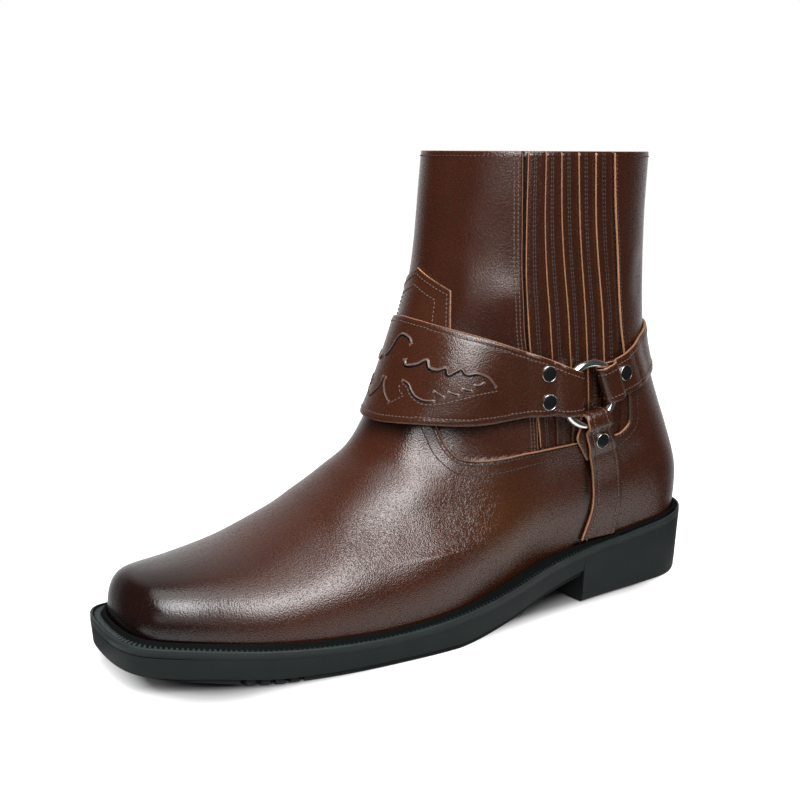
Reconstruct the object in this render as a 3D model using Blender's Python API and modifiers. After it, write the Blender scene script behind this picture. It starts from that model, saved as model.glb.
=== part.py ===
"""Harness boot, a left boot of brown leather with a square toe, worked out from its last.

Sizes are in millimetres from the back of the heel along the sole, and become metres in the mesh.
+X points to the toe, +Y to the wearer's left, which is the outer side, and +Z up from the floor.
"""
import math

import bmesh
import bpy
import numpy as np
from mathutils import Vector

MM = 0.001
GAP = 0.3
# Stations from heel to toe along each side of the upper, welt and insole
HALF_COUNT = 28

# Driving sizes of the sole
SOLE_LENGTH = 302.0
HEEL_BREAST = 80.0
HEEL_ROUND = 30.0
TOE_ROUND = 20.0
HEEL_POWER = 2.5
TOE_POWER = 5.0
OUTLINE_POWER = 0.4

# Driving sizes of the upper
COLLAR_HEIGHT = 209.0
SHAFT_AXIS = 85.0
WALL = 2.2
TOE_MARGIN = 6.8
HEEL_MARGIN = 2.6
RIDGE_POWER = 2.3
# Roundness of the arch under the ridge and of the side's edge, by x, and of the back, by z
ARCH_POWERS = ((150.0, 1.7), (200.0, 1.9), (260.0, RIDGE_POWER))
SIDE_POWERS = ((150.0, 0.5), (240.0, 0.5), (280.0, 0.42))
BACK_POWERS = ((30.0, HEEL_POWER), (120.0, 2.2))
# Where the shaft's oval gives way to the forefoot's arch, and how its breadth leans in above the welt
SHAFT_FRONT = 195.0
SHAFT_BLEND = 45.0
LEAN_RISE = 85.0
LEAN_FRONT = 215.0
LEAN_BLEND = 70.0
SWELL = 0.05
SWELL_RISE = 45.0
# Rows of its wall crowd at the toe's rise and over the hollow of the instep
ROW_COUNT = 24
ROW_COLUMNS = ("row_share", "way_up")
ROW_PLACES = ((0.0, 0.0), (0.26, 0.1), (0.45, 0.34), (0.87, 0.8), (1.0, 1.0))

# Welt, insole and sole steps
WELT_THICK = 3.0
RIB_HEIGHT = 2.2
RIB_WIDTH = 2.2
RIM_HEIGHT = 0.5
INSOLE_RISE = 1.2
TREAD_HEIGHT = 2.4
TREAD_INSET = 3.2
# The tread thins towards the toe
TOE_TREAD = 0.8
TREAD_END = 290.0
TREAD_FADE = 30.0
# Insets of the sole's wall at its top and foot, and of the heel's wall with heights from the floor
WALL_TOP_INSET = 0.2
WALL_FOOT_INSET = 0.7
HEEL_STEPS = ((1.2, 8.0), (1.8, 1.2), (2.8, 0.0))
# The step from the wall to the tread: insets, with heights from the tread's top
FORE_STEPS = ((WALL_FOOT_INSET, 0.6), (1.3, 0.0), (TREAD_INSET, -0.5))
TREAD_TAPER = 0.6
GROOVE_COUNT = 5
GROOVE_START = 234.0
GROOVE_PITCH = 5.6
GROOVE_WIDTH = 2.0
GROOVE_DEPTH = 1.6

# Harness: strap leather, ring and rivets, with heights above the upper
STRAP_THICK = 1.6
STRAP_LIFT = 2.0
LOW_LIFT = 0.5
RING_RADIUS = 14.2
WIRE_RADIUS = 1.8
RING_X = 85.8
RING_Z = 102.5
RING_HEIGHT = STRAP_LIFT + STRAP_THICK + GAP + WIRE_RADIUS
RIVET_RADIUS = 3.7
RIVET_HEIGHT = 1.3
# The two layers of a fold lie this far apart, and a rivet this far above the outer one
LAYER_GAP = 0.25
RIVET_GAP = 0.35
RIVET_SEAT = STRAP_LIFT + 2 * STRAP_THICK + LAYER_GAP + RIVET_GAP
PLEAT_LIFT = 0.4
PLEAT_FRONT = 1.2
PLEAT_REAR = 0.5
TAB_LIFT = 0.6
TAB_THICK = 1.2

# One row for each station of the last: half breadths, welt top and underside of the sole plate
STATION_COLUMNS = ("x", "lateral", "medial", "welt_top", "underside", "welt_margin")
STATIONS = (
    (0.0, 26.0, 27.0, 34.0, 16.5, 2.4),
    (20.0, 28.2, 30.5, 31.4, 16.0, 2.6),
    (45.0, 31.2, 33.6, 28.7, 15.6, 3.2),
    (80.0, 36.2, 34.6, 25.8, 13.4, 5.6),
    (105.0, 41.4, 34.8, 22.8, 9.4, 8.2),
    (130.0, 48.6, 36.6, 18.8, 4.4, 7.8),
    (160.0, 54.2, 42.0, 15.0, 0.0, 5.4),
    (190.0, 55.0, 50.4, 12.8, 0.0, 5.2),
    (220.0, 53.2, 55.0, 13.2, 0.0, 5.6),
    (248.0, 47.2, 50.0, 14.6, 0.5, 5.8),
    (272.0, 37.0, 39.0, 16.2, 2.6, 5.8),
    (288.0, 31.0, 30.0, 18.2, 5.2, 5.8),
    (302.0, 27.0, 22.5, 20.8, 8.2, 5.8),
)

# The front of the boot from collar to toe, and its back from heel to collar
FRONT_COLUMNS = ("z", "x")
FRONT = (
    (209.0, 145.0), (190.0, 147.0), (170.0, 148.8), (152.0, 151.0), (138.0, 155.0), (124.0, 160.5),
    (110.0, 166.5), (98.0, 172.0), (88.0, 178.0), (79.0, 187.0), (70.5, 198.0), (62.0, 211.0),
    (54.4, 224.0), (48.5, 237.0), (44.9, 250.0), (42.8, 264.0), (41.8, 280.0), (41.0, 297.0),
)
BACK_COLUMNS = ("z", "x", "half_breadth", "back_round", "front_round", "front_power")
BACK = (
    (26.0, 3.0, 35.2, 30.0, 126.0, 1.8),
    (46.0, 2.0, 35.9, 32.0, 117.0, 1.8),
    (56.0, 3.4, 36.1, 33.6, 109.0, 1.8),
    (66.0, 6.8, 36.3, 35.2, 103.0, 1.83),
    (78.0, 12.0, 36.5, 38.8, 94.0, 1.9),
    (90.0, 17.6, 36.5, 43.2, 86.0, 1.97),
    (104.0, 23.2, 36.5, 48.2, 77.0, 2.05),
    (120.0, 27.6, 36.6, 54.0, 68.0, 2.14),
    (138.0, 29.8, 37.0, 54.8, 61.6, 2.2),
    (158.0, 30.6, 37.3, 55.8, 60.6, 2.2),
    (180.0, 31.0, 37.8, 56.7, 59.5, 2.2),
    (209.0, 30.0, 38.5, 58.0, 58.0, 2.2),
)

# Front edge of each pleat of the gore, at the collar, under the strap and at the vamp seam
PLEAT_COLUMNS = ("collar", "strap", "seam")
PLEAT_EDGES = (
    (117.3, 115.8, 108.0),
    (109.6, 105.0, 98.4),
    (102.6, 95.2, 89.4),
    (94.4, 85.4, 80.4),
    (85.0, 75.0, 71.0),
    (73.4, 63.4, 60.6),
)
PLEAT_HEIGHTS = (207.6, 131.0, 79.0)

# Heights of the front strap's edges, by its share of the way from the front to the ring's fold
FRONT_STRAP_COLUMNS = ("share", "top", "bottom")
FRONT_STRAP = (
    (0.0, 136.4, 94.4),
    (0.15, 135.6, 94.0),
    (0.52, 131.4, 92.6),
)
# Heights of the back strap's edges, by its share of the way from the ring's fold to the heel's middle
BACK_STRAP_COLUMNS = ("share", "top", "bottom")
BACK_STRAP = (
    (0.5, 127.4, 106.6),
    (1.0, 131.0, 110.0),
)
# Edges of the down strap below the ring's fold
DOWN_STRAP_COLUMNS = ("z", "front", "rear")
DOWN_STRAP = (
    (60.0, 77.6, 59.0),
    (44.0, 76.6, 57.0),
    (28.6, 79.6, 58.6),
)
# The fold of each strap round the ring: its heading in side view, where it turns, and its edges' distance
# from its middle line along the run; left and right are as seen along the heading
FOLD_LEAD = 31.0
FOLD_HEADINGS = {"front": -3.0, "back": 157.5, "down": 260.0}
FOLD_BENDS = {"front": 7.8, "back": 10.4, "down": 11.4}
# The outer layer's ramp, its climb over the wire by distance beyond the ring and height above its middle,
# and where the inner layer bends and ends
FOLD_RAMP = 5.0
FOLD_FLAT = 3.7
FOLD_CLIMB = ((3.0, 0.8), (1.8, 2.5))
FOLD_INNER = 6.0
FOLD_END = 7.0
# How much wider on the left and on the right the inner layer is than the outer one
FOLD_TAILS = {"front": (-1.5, -1.5), "back": (-1.5, -1.5), "down": (5.0, -1.5)}
FOLD_COLUMNS = ("run", "front_left", "front_right", "back_left", "back_right", "down_left", "down_right")
FOLD_EDGES = (
    (0.0, 8.6, 8.2, 8.2, 8.4, 4.0, 6.6),
    (12.0, 13.2, 7.8, 8.6, 8.2, 4.2, 8.4),
    (20.0, 18.2, 7.0, 10.8, 7.2, 2.4, 12.2),
    (31.0, 22.4, 6.6, 13.0, 6.2, 0.0, 16.3),
)
# Rivets by strap, with their place along the run and aside to the left of its middle line
RIVETS = (
    ("front_top", "front", 21.7, 12.2),
    ("front_low", "front", 21.7, -0.6),
    ("back", "back", 21.7, 1.0),
    ("down", "down", 24.0, -5.6),
)
TAB_APEX = 158.4
TAB_SHOULDER = 149.6
TAB_FOOT = 128.0
TAB_ANGLE = 16.5

LEATHER = ("brown_leather", (0.115, 0.042, 0.021), 0.38, 0.0)
STRAP_LEATHER = ("strap_leather", (0.105, 0.037, 0.018), 0.42, 0.0)
RUBBER = ("black_rubber", (0.018, 0.020, 0.021), 0.62, 0.0)
INSOLE_FELT = ("tan_insole", (0.36, 0.23, 0.13), 0.85, 0.0)
NICKEL = ("bright_nickel", (0.78, 0.78, 0.77), 0.18, 1.0)
GUNMETAL = ("gunmetal", (0.09, 0.09, 0.095), 0.3, 1.0)


def column(table, names, name):
    """One named column of a table as an array."""
    return np.array([row[names.index(name)] for row in table])


def curve(knots, values, at):
    """Smooth curve through a table: cubic between knots, with the slopes of its neighbours."""
    order = np.argsort(knots)
    knots = np.asarray(knots, float)[order]
    values = np.asarray(values, float)[order]
    slopes = np.gradient(values, knots)
    at = np.clip(at, knots[0], knots[-1])
    i = np.clip(np.searchsorted(knots, at, side="right") - 1, 0, len(knots) - 2)
    span = knots[i + 1] - knots[i]
    t = (at - knots[i]) / span
    start = (1 + 2 * t) * (1 - t) ** 2 * values[i] + t * (1 - t) ** 2 * span * slopes[i]
    end = t * t * (3 - 2 * t) * values[i + 1] + t * t * (t - 1) * span * slopes[i + 1]
    return start + end


def station(name, x):
    """A column of the last's stations at x."""
    return curve(column(STATIONS, STATION_COLUMNS, "x"), column(STATIONS, STATION_COLUMNS, name), x)


def level(name, z):
    """A column of the shaft's heights at z."""
    return curve(column(BACK, BACK_COLUMNS, "z"), column(BACK, BACK_COLUMNS, name), z)


def ease(t):
    """Soft step from 0 to 1."""
    t = np.clip(t, 0, 1)
    return t * t * (3 - 2 * t)


def cosine_steps(count):
    """Steps from 0 to 1 that crowd together at both ends."""
    return (1 - np.cos(np.pi * np.linspace(0, 1, count))) / 2


def breadth(x, side):
    """Half breadth of the sole before its ends are rounded; side is 1 lateral, -1 medial."""
    return np.where(np.asarray(side) > 0, station("lateral", x), station("medial", x))


def front_line():
    """The front of shaft, instep and vamp as dense z and x arrays, from collar to toe."""
    z = column(FRONT, FRONT_COLUMNS, "z")
    x = column(FRONT, FRONT_COLUMNS, "x")
    along = np.concatenate([[0], np.cumsum(np.hypot(np.diff(z), np.diff(x)))])
    steps = np.linspace(0, along[-1], 400)
    return curve(along, z, steps), curve(along, x, steps)


FRONT_Z, FRONT_X = front_line()


def feather_height(x):
    """Height of the upper's lower edge, just above the welt."""
    return station("welt_top", x) + GAP


def toe_share(x):
    """How far x is into the rounded toe: 0 where it starts, 1 at the tip of the upper."""
    tip = SOLE_LENGTH - TOE_MARGIN
    return np.clip((x - tip + TOE_ROUND) / TOE_ROUND, 0, 1)


def upper_half(x, z, side):
    """Half breadth of the upper at x and z: breadth times (1 - g) to a power, with g = 1 on its outline.

    g adds the round of the heel and back to that of the front. Over the forefoot the front is an
    arch under the ridge that closes at the square toe, over the shaft it is the front of an oval.
    """
    base = feather_height(x)
    ridge = np.interp(x, FRONT_X, FRONT_Z)
    rise = np.clip((z - base) / np.maximum(ridge - base, 1), 0, 1.2)
    arch_power = np.interp(x, *zip(*ARCH_POWERS))
    arch = toe_share(x) ** TOE_POWER + rise ** arch_power
    ahead = np.interp(z, FRONT_Z[::-1], FRONT_X[::-1]) - x
    oval = np.clip(1 - ahead / level("front_round", z), 0, 1.2) ** level("front_power", z)
    behind = x - level("x", z)
    back_power = np.interp(z, *zip(*BACK_POWERS))
    back = np.clip(1 - behind / level("back_round", z), 0, 1.2) ** back_power
    shaft = ease((SHAFT_FRONT - x) / SHAFT_BLEND)
    g = back + (1 - shaft) * arch + shaft * oval
    low = breadth(x, side) - station("welt_margin", x)
    lean = ease((z - base) / LEAN_RISE) * ease((LEAN_FRONT - x) / LEAN_BLEND)
    width = low + (level("half_breadth", z) - low) * lean
    swell = 1 + SWELL * np.sin(np.pi * np.clip((z - base) / SWELL_RISE, 0, 1)) ** 2
    return width * swell * np.clip(1 - g, 0, 1) ** np.interp(x, *zip(*SIDE_POWERS))


def side_point(x, z, side, lift):
    """Point on the upper's side at x and z, raised by lift along its normal."""
    x, z, lift = np.broadcast_arrays(np.asarray(x, float), np.asarray(z, float), np.asarray(lift, float))
    step = 0.2
    y = upper_half(x, z, side)
    slope_x = (upper_half(x + step, z, side) - upper_half(x - step, z, side)) / (2 * step)
    slope_z = (upper_half(x, z + step, side) - upper_half(x, z - step, side)) / (2 * step)
    normal = np.stack([-slope_x, np.ones_like(x), -slope_z], -1)
    normal /= np.linalg.norm(normal, axis=-1, keepdims=True)
    point = np.stack([x, y, z], -1) + normal * lift[..., None]
    return point * np.array([1, side, 1])


def reach(angle, z):
    """Distance from the shaft's axis to the upper along an angle from the front, by halving."""
    low = np.full(np.shape(angle), 5.0)
    high = np.full(np.shape(angle), 150.0)
    for _ in range(40):
        middle = (low + high) / 2
        side = np.where(np.sin(angle) >= 0, 1, -1)
        width = upper_half(SHAFT_AXIS + middle * np.cos(angle), z, side)
        inside = middle * np.abs(np.sin(angle)) < width - 1e-9
        low = np.where(inside, middle, low)
        high = np.where(inside, high, middle)
    return low


def wrap_point(angle, z, lift):
    """Point on the upper at an angle from the front about the shaft's axis, raised by lift."""
    angle, z, lift = np.broadcast_arrays(*(np.asarray(v, float) for v in (angle, z, lift)))

    def bare(a, h):
        r = reach(a, h)
        return np.stack([SHAFT_AXIS + r * np.cos(a), r * np.sin(a), h], -1)

    step = 0.02
    round_way = bare(angle + step, z) - bare(angle - step, z)
    up_way = bare(angle, z + 0.5) - bare(angle, z - 0.5)
    normal = np.cross(round_way, up_way)
    normal /= np.linalg.norm(normal, axis=-1, keepdims=True)
    return bare(angle, z) + normal * lift[..., None]


def side_angle(x, z):
    """Angle from the front of the point of the upper's lateral side at x and z."""
    return np.arctan2(upper_half(x, z, 1), x - SHAFT_AXIS)


def to_frame(points):
    """Millimetres from the heel to metres about the middle of the sole."""
    return (np.asarray(points) - np.array([SOLE_LENGTH / 2, 0, 0])) * MM


def material(finish):
    """A plain Principled material for one finish."""
    name, colour, roughness, metallic = finish
    made = bpy.data.materials.get(name) or bpy.data.materials.new(name)
    made.use_nodes = True
    shader = made.node_tree.nodes["Principled BSDF"]
    shader.inputs["Base Color"].default_value = (*colour, 1)
    shader.inputs["Roughness"].default_value = roughness
    shader.inputs["Metallic"].default_value = metallic
    return made


def add_part(name, mesh, finish):
    """Object of one piece in the boot's collection, under the boot's empty."""
    part = bpy.data.objects.new(name, mesh)
    mesh.materials.append(material(finish))
    mesh.shade_smooth()
    mesh.set_sharp_from_angle(angle=math.radians(38))
    bpy.data.collections["harness_boot"].objects.link(part)
    part.parent = bpy.data.objects["boot_origin"]
    return part


def grid_faces(rows, columns, closed_rows=False, closed_columns=False):
    """Quads of a grid of points, joined end to end where a direction is closed."""
    faces = []
    for i in range(rows if closed_rows else rows - 1):
        for j in range(columns if closed_columns else columns - 1):
            k = (i + 1) % rows
            m = (j + 1) % columns
            faces.append((i * columns + j, i * columns + m, k * columns + m, k * columns + j))
    return faces


def sheet(name, points, thickness, offset, finish, closed_rows=False):
    """An open grid of points given a wall by Solidify; offset -1 keeps the points as its outside."""
    rows, columns = points.shape[:2]
    mesh = bpy.data.meshes.new(name)
    mesh.from_pydata(to_frame(points.reshape(-1, 3)).tolist(), [], grid_faces(rows, columns, closed_rows))
    part = add_part(name, mesh, finish)
    wall = part.modifiers.new("wall", "SOLIDIFY")
    wall.thickness = thickness * MM
    wall.offset = offset
    return part


def loft(name, sections, finish, ring=False):
    """A closed solid through sections of equal point counts; a ring has no ends."""
    rows, columns = sections.shape[:2]
    faces = grid_faces(rows, columns, ring, True)
    if not ring:
        last = (rows - 1) * columns
        faces.append(tuple(range(columns)))
        faces.append(tuple(range(last, last + columns)))
    mesh = bpy.data.meshes.new(name)
    mesh.from_pydata(to_frame(sections.reshape(-1, 3)).tolist(), [], faces)
    work = bmesh.new()
    work.from_mesh(mesh)
    bmesh.ops.remove_doubles(work, verts=work.verts, dist=1e-6)
    bmesh.ops.recalc_face_normals(work, faces=work.faces)
    work.to_mesh(mesh)
    work.free()
    return add_part(name, mesh, finish)


def outline_round(x):
    """The factor that rounds both ends of the sole's outline."""
    heel = np.clip(1 - x / HEEL_ROUND, 0, 1)
    toe = np.clip((x - SOLE_LENGTH + TOE_ROUND) / TOE_ROUND, 0, 1)
    return np.clip(1 - heel ** HEEL_POWER - toe ** TOE_POWER, 0, 1) ** OUTLINE_POWER


def sole_edge(x, side, inset):
    """Point x and y of the sole's outline, moved in by inset."""
    pull = np.clip(1 - x / HEEL_ROUND, 0, 1) - np.clip((x - SOLE_LENGTH + TOE_ROUND) / TOE_ROUND, 0, 1)
    return x + inset * pull, side * (breadth(x, side) - inset) * outline_round(x)


def sole_sections(x, levels):
    """Sections across the sole: each level is an inset and its heights, lateral down then medial up."""
    lateral = []
    medial = []
    for inset, height in levels:
        lateral.append(np.stack([*sole_edge(x, 1, inset), height], -1))
        medial.append(np.stack([*sole_edge(x, -1, inset), height], -1))
    return np.stack(lateral + medial[::-1], 1)


def loop_x(count, start, end):
    """Stations round a closed outline: out along the lateral side and back along the medial one."""
    out = start + (end - start) * cosine_steps(count)
    x = np.concatenate([out, out[-2:0:-1]])
    side = np.concatenate([np.ones(count), -np.ones(count - 2)])
    return x, side


def feather_outline(inset):
    """Outline of the upper's lower edge in plan, moved in by inset along its normal."""
    x, side = loop_x(HALF_COUNT, level("x", feather_height(HEEL_MARGIN)), SOLE_LENGTH - TOE_MARGIN)
    y = side * upper_half(x, feather_height(x), side)
    ahead = np.stack([np.roll(x, -1) - np.roll(x, 1), np.roll(y, -1) - np.roll(y, 1)], -1)
    ahead /= np.linalg.norm(ahead, axis=-1, keepdims=True)
    return x + ahead[:, 1] * inset, y - ahead[:, 0] * inset


def build_outsole():
    """Moulded rubber sole and heel in one: a plain wall over set-back tread, arched waist and toe spring."""
    rear = HEEL_BREAST * cosine_steps(24)[:14] / cosine_steps(24)[13]
    fore = HEEL_BREAST + (SOLE_LENGTH - HEEL_BREAST) * np.sin(np.linspace(0, np.pi / 2, 34))
    x = np.concatenate([rear, fore])
    x[0] = 0.15
    x[-1] = SOLE_LENGTH - 0.01
    heel = np.arange(len(x)) < len(rear)
    top = station("welt_top", x) - WELT_THICK - GAP
    under = np.maximum(station("underside", x), 0)
    tread = under + TOE_TREAD + (TREAD_HEIGHT - TOE_TREAD) * ease((TREAD_END - x) / TREAD_FADE)
    heel_levels = [(WALL_FOOT_INSET, under), *HEEL_STEPS]
    fore_levels = [(inset, tread + rise) for inset, rise in FORE_STEPS] + [(TREAD_INSET - TREAD_TAPER, under)]
    levels = [(WALL_TOP_INSET, top)]
    for (heel_inset, heel_z), (fore_inset, fore_z) in zip(heel_levels, fore_levels):
        levels.append((np.where(heel, heel_inset, fore_inset), np.where(heel, heel_z, fore_z)))
    outsole = loft("outsole", sole_sections(x, levels), RUBBER)
    for number in range(GROOVE_COUNT):
        groove_x = GROOVE_START + number * GROOVE_PITCH
        bpy.ops.mesh.primitive_cube_add(size=1)
        cutter = bpy.context.object
        cutter.name = f"groove_{number}"
        place = to_frame((groove_x, 0, float(station("underside", groove_x)) + GROOVE_DEPTH - 5))
        for vertex in cutter.data.vertices:
            vertex.co.x = vertex.co.x * GROOVE_WIDTH * MM + place[0]
            vertex.co.y = vertex.co.y * 130 * MM
            vertex.co.z = vertex.co.z * 10 * MM + place[2]
        cutter.hide_render = True
        cutter.display_type = "WIRE"
        for home in cutter.users_collection:
            home.objects.unlink(cutter)
        bpy.data.collections["cutters"].objects.link(cutter)
        cut = outsole.modifiers.new(cutter.name, "BOOLEAN")
        cut.operation = "DIFFERENCE"
        cut.object = cutter


def build_welt():
    """Welt strip round the boot: a rib beside the upper, a stitch channel and a raised outer rim."""
    bed_x, bed_y = feather_outline(WALL)
    foot_x, foot_y = feather_outline(-GAP)
    rib_x, rib_y = feather_outline(-RIB_WIDTH)
    x, side = loop_x(HALF_COUNT, 0.0, SOLE_LENGTH)
    rim_x, rim_y = sole_edge(x, side, 1.6)
    edge_x, edge_y = sole_edge(x, side, 0.0)

    def corner(px, py, rise):
        return np.stack([px, py, station("welt_top", px) + rise], -1)

    sections = [
        corner(bed_x, bed_y, -WELT_THICK),
        corner(edge_x, edge_y, -WELT_THICK),
        corner(edge_x, edge_y, RIM_HEIGHT - 0.4),
        corner(rim_x, rim_y, RIM_HEIGHT),
        corner(rib_x, rib_y, 0.0),
        corner((rib_x + foot_x) / 2, (rib_y + foot_y) / 2, RIB_HEIGHT),
        corner(foot_x, foot_y, RIB_HEIGHT * 0.8),
        corner(foot_x, foot_y, 0.0),
        corner(bed_x, bed_y, 0.0),
    ]
    loft("welt", np.stack(sections, 1), RUBBER, ring=True)


def build_insole():
    """Insole board that fills the welt and shows inside the boot."""
    x, y = feather_outline(WALL + 0.5)
    sections = []
    for i in range(1, HALF_COUNT - 1):
        j = len(x) - i
        near = np.array([x[i], y[i], station("welt_top", x[i])])
        far = np.array([x[j], y[j], station("welt_top", x[j])])
        up = np.array([0, 0, INSOLE_RISE])
        down = np.array([0, 0, -WELT_THICK])
        sections.append([near + up, near + down, far + down, far + up])
    loft("insole", np.array(sections), INSOLE_FELT)


def build_upper():
    """Leather upper in one wall, from the lower edge over vamp and instep to the collar."""
    across = cosine_steps(HALF_COUNT)
    row_share = np.linspace(0, 1, ROW_COUNT)
    up = np.interp(row_share, *(column(ROW_PLACES, ROW_COLUMNS, name) for name in ROW_COLUMNS))
    tip = SOLE_LENGTH - TOE_MARGIN
    # Front edge: the toe's wall, then the ridge of vamp, instep and shaft
    share = np.linspace(1, 0, 60) ** 0.6
    wall_x = tip - TOE_ROUND + TOE_ROUND * share
    base = feather_height(wall_x)
    wall_z = base + (np.interp(wall_x, FRONT_X, FRONT_Z) - base) * (1 - share ** TOE_POWER) ** (1 / RIDGE_POWER)
    beyond = FRONT_X[::-1] < wall_x[-1]
    edge_x = np.concatenate([wall_x, FRONT_X[::-1][beyond]])
    edge_z = np.concatenate([wall_z, FRONT_Z[::-1][beyond]])
    along = np.concatenate([[0], np.cumsum(np.hypot(np.diff(edge_x), np.diff(edge_z)))])
    front = np.stack([np.interp(up * along[-1], along, edge) for edge in (edge_x, edge_z)])
    # Back edge, lower edge and collar
    heel_z = feather_height(HEEL_MARGIN)
    back_z = heel_z + (COLLAR_HEIGHT - heel_z) * up
    back = np.stack([level("x", back_z), back_z])
    foot_x = back[0, 0] + (tip - back[0, 0]) * across
    foot = np.stack([foot_x, feather_height(foot_x)])
    collar_x = back[0, -1] + (front[0, -1] - back[0, -1]) * across
    collar = np.stack([collar_x, np.full(HALF_COUNT, COLLAR_HEIGHT)])
    # Side view of the wall: a patch blended from its four edges
    s = across[:, None]
    v = up[None, :]
    patch = []
    for bottom, top, left, right in zip(foot, collar, back, front):
        ruled = (1 - v) * bottom[:, None] + v * top[:, None] + (1 - s) * left[None] + s * right[None]
        corners = (1 - s) * ((1 - v) * bottom[0] + v * top[0]) + s * ((1 - v) * bottom[-1] + v * top[-1])
        patch.append(ruled - corners)
    x, z = patch
    lateral = np.stack([x, upper_half(x, z, 1), z], -1)
    medial = np.stack([x, -upper_half(x, z, -1), z], -1)
    points = np.concatenate([lateral, medial[-2:0:-1]])
    sheet("upper", points, WALL, -1, LEATHER, closed_rows=True)


def build_front_tab():
    """House-shaped leather tab on the front of the shaft, its foot under the front strap."""
    share = np.linspace(-1, 1, 13)[:, None]
    rise = np.linspace(0, 1, 5)[None, :]
    angle = np.radians(TAB_ANGLE) * share
    top = TAB_APEX - (TAB_APEX - TAB_SHOULDER) * np.abs(share)
    points = wrap_point(angle + 0 * rise, TAB_FOOT + (top - TAB_FOOT) * rise, TAB_LIFT)
    sheet("front_tab", points[::-1], TAB_THICK, 1, LEATHER)


def build_gore(side, side_name):
    """Five overlapping leather pleats of the gore, each thick at its front edge."""
    heights = np.linspace(PLEAT_HEIGHTS[0], PLEAT_HEIGHTS[-1], 12)
    edges = [curve(PLEAT_HEIGHTS, row, heights) for row in PLEAT_EDGES]
    for number in range(len(edges) - 1):
        front = edges[number] - GAP / 2
        rear = edges[number + 1] + GAP / 2
        middle = (front + rear) / 2
        half_up = (PLEAT_FRONT + PLEAT_REAR) / 2
        corners = (
            (front, 0.0), (front, PLEAT_FRONT), (middle, half_up), (rear, PLEAT_REAR), (rear, 0.0), (middle, 0.0),
        )
        sections = [side_point(px, heights, side, PLEAT_LIFT + rise) for px, rise in corners]
        loft(f"gore_pleat_{side_name}_{number + 1}", np.stack(sections, 1), LEATHER)


def fold_place(strap, run, aside):
    """Side view x and z of a point that lies run along a strap from the ring and aside of its middle."""
    heading = math.radians(FOLD_HEADINGS[strap])
    x = RING_X + run * math.cos(heading) - aside * math.sin(heading)
    z = RING_Z + run * math.sin(heading) + aside * math.cos(heading)
    return x, z


def fold_rows(strap, side, across, lead_height):
    """Rows of a strap end folded round the ring, from the outer layer's start to the inner layer's end.

    The outer layer climbs over the wire, turns half a circle at the bend and runs back under it.
    Across runs from 0 at the strap's right edge to 1 at its left edge, seen along its heading.
    """
    seat = STRAP_LIFT + STRAP_THICK / 2
    second = seat + STRAP_THICK + LAYER_GAP
    turn = RING_HEIGHT - seat
    half_circle = np.linspace(np.pi / 2, -np.pi / 2, 7)
    run = [FOLD_LEAD, FOLD_LEAD - FOLD_RAMP, RING_RADIUS + FOLD_FLAT]
    run += [RING_RADIUS + beyond for beyond, _ in FOLD_CLIMB] + [RING_RADIUS]
    climb = [lead_height, second, second]
    climb += [RING_HEIGHT + above for _, above in FOLD_CLIMB] + [RING_HEIGHT + turn]
    run += list(FOLD_BENDS[strap] - turn * np.cos(half_circle))
    climb += list(RING_HEIGHT + turn * np.sin(half_circle))
    run += [RING_RADIUS, RING_RADIUS + FOLD_INNER, FOLD_LEAD - FOLD_END]
    climb += [seat, seat, seat]
    run = np.array(run)[:, None]
    climb = np.array(climb)[:, None]
    knots = column(FOLD_EDGES, FOLD_COLUMNS, "run")
    left = np.interp(run, knots, column(FOLD_EDGES, FOLD_COLUMNS, strap + "_left"))
    right = np.interp(run, knots, column(FOLD_EDGES, FOLD_COLUMNS, strap + "_right"))
    inner_rows = 2
    left[-inner_rows:] += FOLD_TAILS[strap][0]
    right[-inner_rows:] += FOLD_TAILS[strap][1]
    x, z = fold_place(strap, run, left * across[None] - right * (1 - across[None]))
    return side_point(x, z, side, climb), x[0], z[0]


def strap_heights(table, names, lead_share, lead_z, share, across):
    """Heights across a strap: a curve for each line along it, through its table and its fold's start."""
    knots = np.append(column(table, names, "share"), lead_share)
    tops = column(table, names, "top")
    bottoms = column(table, names, "bottom")
    lines = []
    for part, start in zip(across, lead_z):
        values = np.append(bottoms * (1 - part) + tops * part, start)
        lines.append(curve(knots, values, share))
    return np.stack(lines, -1)


def build_front_strap():
    """Wide harness strap across the instep, folded round the ring on each side."""
    across = np.linspace(0, 1, 4)
    height = STRAP_LIFT + STRAP_THICK / 2
    lateral, lead_x, lead_z = fold_rows("front", 1, across, height)
    medial = fold_rows("front", -1, across, height)[0]
    turn = np.linspace(1, -1, 27)[1:-1]
    z = strap_heights(FRONT_STRAP, FRONT_STRAP_COLUMNS, 1.0, lead_z, np.abs(turn), across)
    front = wrap_point(turn[:, None] * side_angle(lead_x, lead_z)[None], z, height)
    sheet("front_strap", np.concatenate([lateral[::-1], front, medial]), STRAP_THICK, 0, STRAP_LEATHER)


def build_back_strap():
    """Harness strap round the back of the heel, folded round the ring on each side."""
    across = np.linspace(1, 0, 3)
    height = LOW_LIFT + STRAP_THICK / 2
    lateral, lead_x, lead_z = fold_rows("back", 1, 1 - across, height)
    medial = fold_rows("back", -1, 1 - across, height)[0]
    turn = np.linspace(0, 2, 17)[1:-1]
    z = strap_heights(BACK_STRAP, BACK_STRAP_COLUMNS, 0.0, lead_z, 1 - np.abs(1 - turn), across)
    lead_angle = side_angle(lead_x, lead_z)[None]
    back = wrap_point(lead_angle + (np.pi - lead_angle) * turn[:, None], z, height)
    sheet("back_strap", np.concatenate([lateral[::-1], back, medial]), STRAP_THICK, 0, STRAP_LEATHER)


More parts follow.
